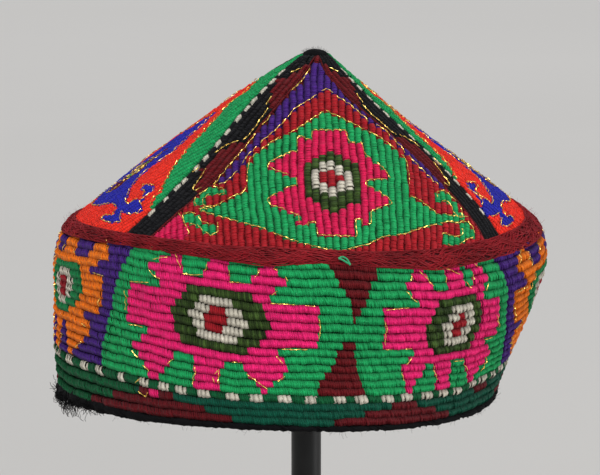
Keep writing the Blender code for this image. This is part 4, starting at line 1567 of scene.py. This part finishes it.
def strayGold(draw):
    # Elsewhere short strokes where a colour starts or ends on a rib, some of them linked to the rib below.
    plain = {code(name) for name in ungilded}
    lift, above = goldLook["strayOut"]
    nearest, furthest = goldLook["linkReach"]
    angles = np.arange(bandPlan["goldAngles"][1], bandPlan["goldAngles"][0] + 360.0, 0.1)
    lines = []
    for rib in range(bandPlan["checkRib"]):
        colours, below = bandColours(rib, angles), bandColours(rib + 1, angles)
        for change in np.flatnonzero(np.diff(colours)):
            here = angles[change]
            sides = {int(colours[change]), int(colours[change + 1])}
            if sides & plain or draw.random() < goldLook["skip"]:
                continue
            steps = goldLook["steps"]
            place = here + draw.uniform(-goldLook["slope"], goldLook["slope"]) * np.linspace(-1, 1, steps)
            upper, lower = (float(ribLevel(row, angles[change:change + 1])[0]) for row in (rib, rib + 1))
            level = np.linspace(upper, lower, steps)
            out = bandOut(place, level, lift) + draw.uniform(*above)
            same = [angles[i] for i in np.flatnonzero(np.diff(below))
                    if {int(below[i]), int(below[i + 1])} == sides]
            if same:
                link = min(same, key=lambda angle: abs(angle - here))
                reach = abs(link - here)
                if nearest < reach < furthest and draw.random() < goldLook["linked"]:
                    across = np.linspace(here, link, max(int(reach * 2), 4))[1:]
                    place = np.concatenate((place, across))
                    level = np.concatenate((level, ribLevel(rib + 1, across)))
                    out = np.concatenate((out, np.full(len(across), draw.uniform(*goldLook["linkOut"]))))
            lines.append(hatPoints(place, level, out))
    return lines


def addGold(threadTree, gold):
    draw = np.random.default_rng(11)
    thread = goldLook["thread"]
    addThreads("bandGold", drawnGold(draw) + strayGold(draw), threadTree, thread, gold)
    for name, gore in gores.items():
        addThreads("goreGold" + name.capitalize(), goreGold(name, draw), threadTree, thread, gold)
    lines = [line for ridge in hatShape["ridges"] for line in stripGold(ridge, draw)]
    addThreads("stripGold", lines, threadTree, thread, gold)
    print("gold thread laid")


# The stand

standLook = {   # radius and height pairs up each turned piece
    "stand_base": ((0.0, 0.0), (74.0, 0.0), (75.0, 0.6), (75.0, 4.8), (74.6, 5.5), (73.8, 5.9), (72.8, 6.0),
                   (0.0, 6.0)),
    "stand_post": ((0.0, 6.4), (6.0, 6.4), (6.0, 204.6), (0.0, 204.6)),
    "stand_rest": ((0.0, 205.0), (35.4, 205.0), (36.0, 205.6), (35.6, 206.8), (30.0, 211.5), (20.0, 218.4),
                   (13.5, 222.2), (11.5, 223.0), (0.0, 223.0)),
    "steps": 96,
    "sharp": 35.0,
}


def addTurned(name, material, replaces):
    turns = turnsOf(standLook["steps"])
    rows = [np.stack((radius * np.cos(turns), radius * np.sin(turns), np.full(len(turns), height)), axis=1)
            for radius, height in standLook[replaces]]
    thing = addRound(name, np.stack(rows) * mm, material, replaces)
    thing.data.set_sharp_from_angle(angle=math.radians(standLook["sharp"]))


def addStand(steel, wood):
    addTurned("standBase", steel, "stand_base")
    addTurned("standPost", steel, "stand_post")
    addTurned("standRest", wood, "stand_rest")
    print("stand made")


addCamera()
addStudio()
stitchTree = makeStitchTree()
threadTree = makeThreadTree()
fuzzTree = makeFuzzTree()
silk = threadMaterial()
redWool = yarnMaterial("maroon wool", (134, 24, 32), 0.35)
blackWool = yarnMaterial("black wool", (11, 11, 13), 0.25, 0.02)
addBandStitches(stitchTree, silk)
crownDraw = np.random.default_rng(23)
for goreName in gores:
    addGoreStitches(goreName, stitchTree, silk, crownDraw)
for ridgeName in hatShape["ridges"]:
    addStripStitches(ridgeName, stitchTree, silk, crownDraw)
# the ground cloth's near-black is painted shade where the gaps between the stitches show it
addCloth(clothMaterial("ground cloth dark as painted shade", (20, 17, 20), 500.0),
         clothMaterial("plain cotton", (168, 150, 124), 420.0))
addPlait(threadTree, fuzzTree, redWool, yarnMaterial("maroon wool for gap shade", (62, 14, 20), 0.3),
         yarnMaterial("green wool", (58, 164, 112), 0.2))
addHem(threadTree, fuzzTree, blackWool)
addApex(fuzzTree, blackWool)
addGold(threadTree, goldMaterial())
addStand(steelMaterial(), woodMaterial())
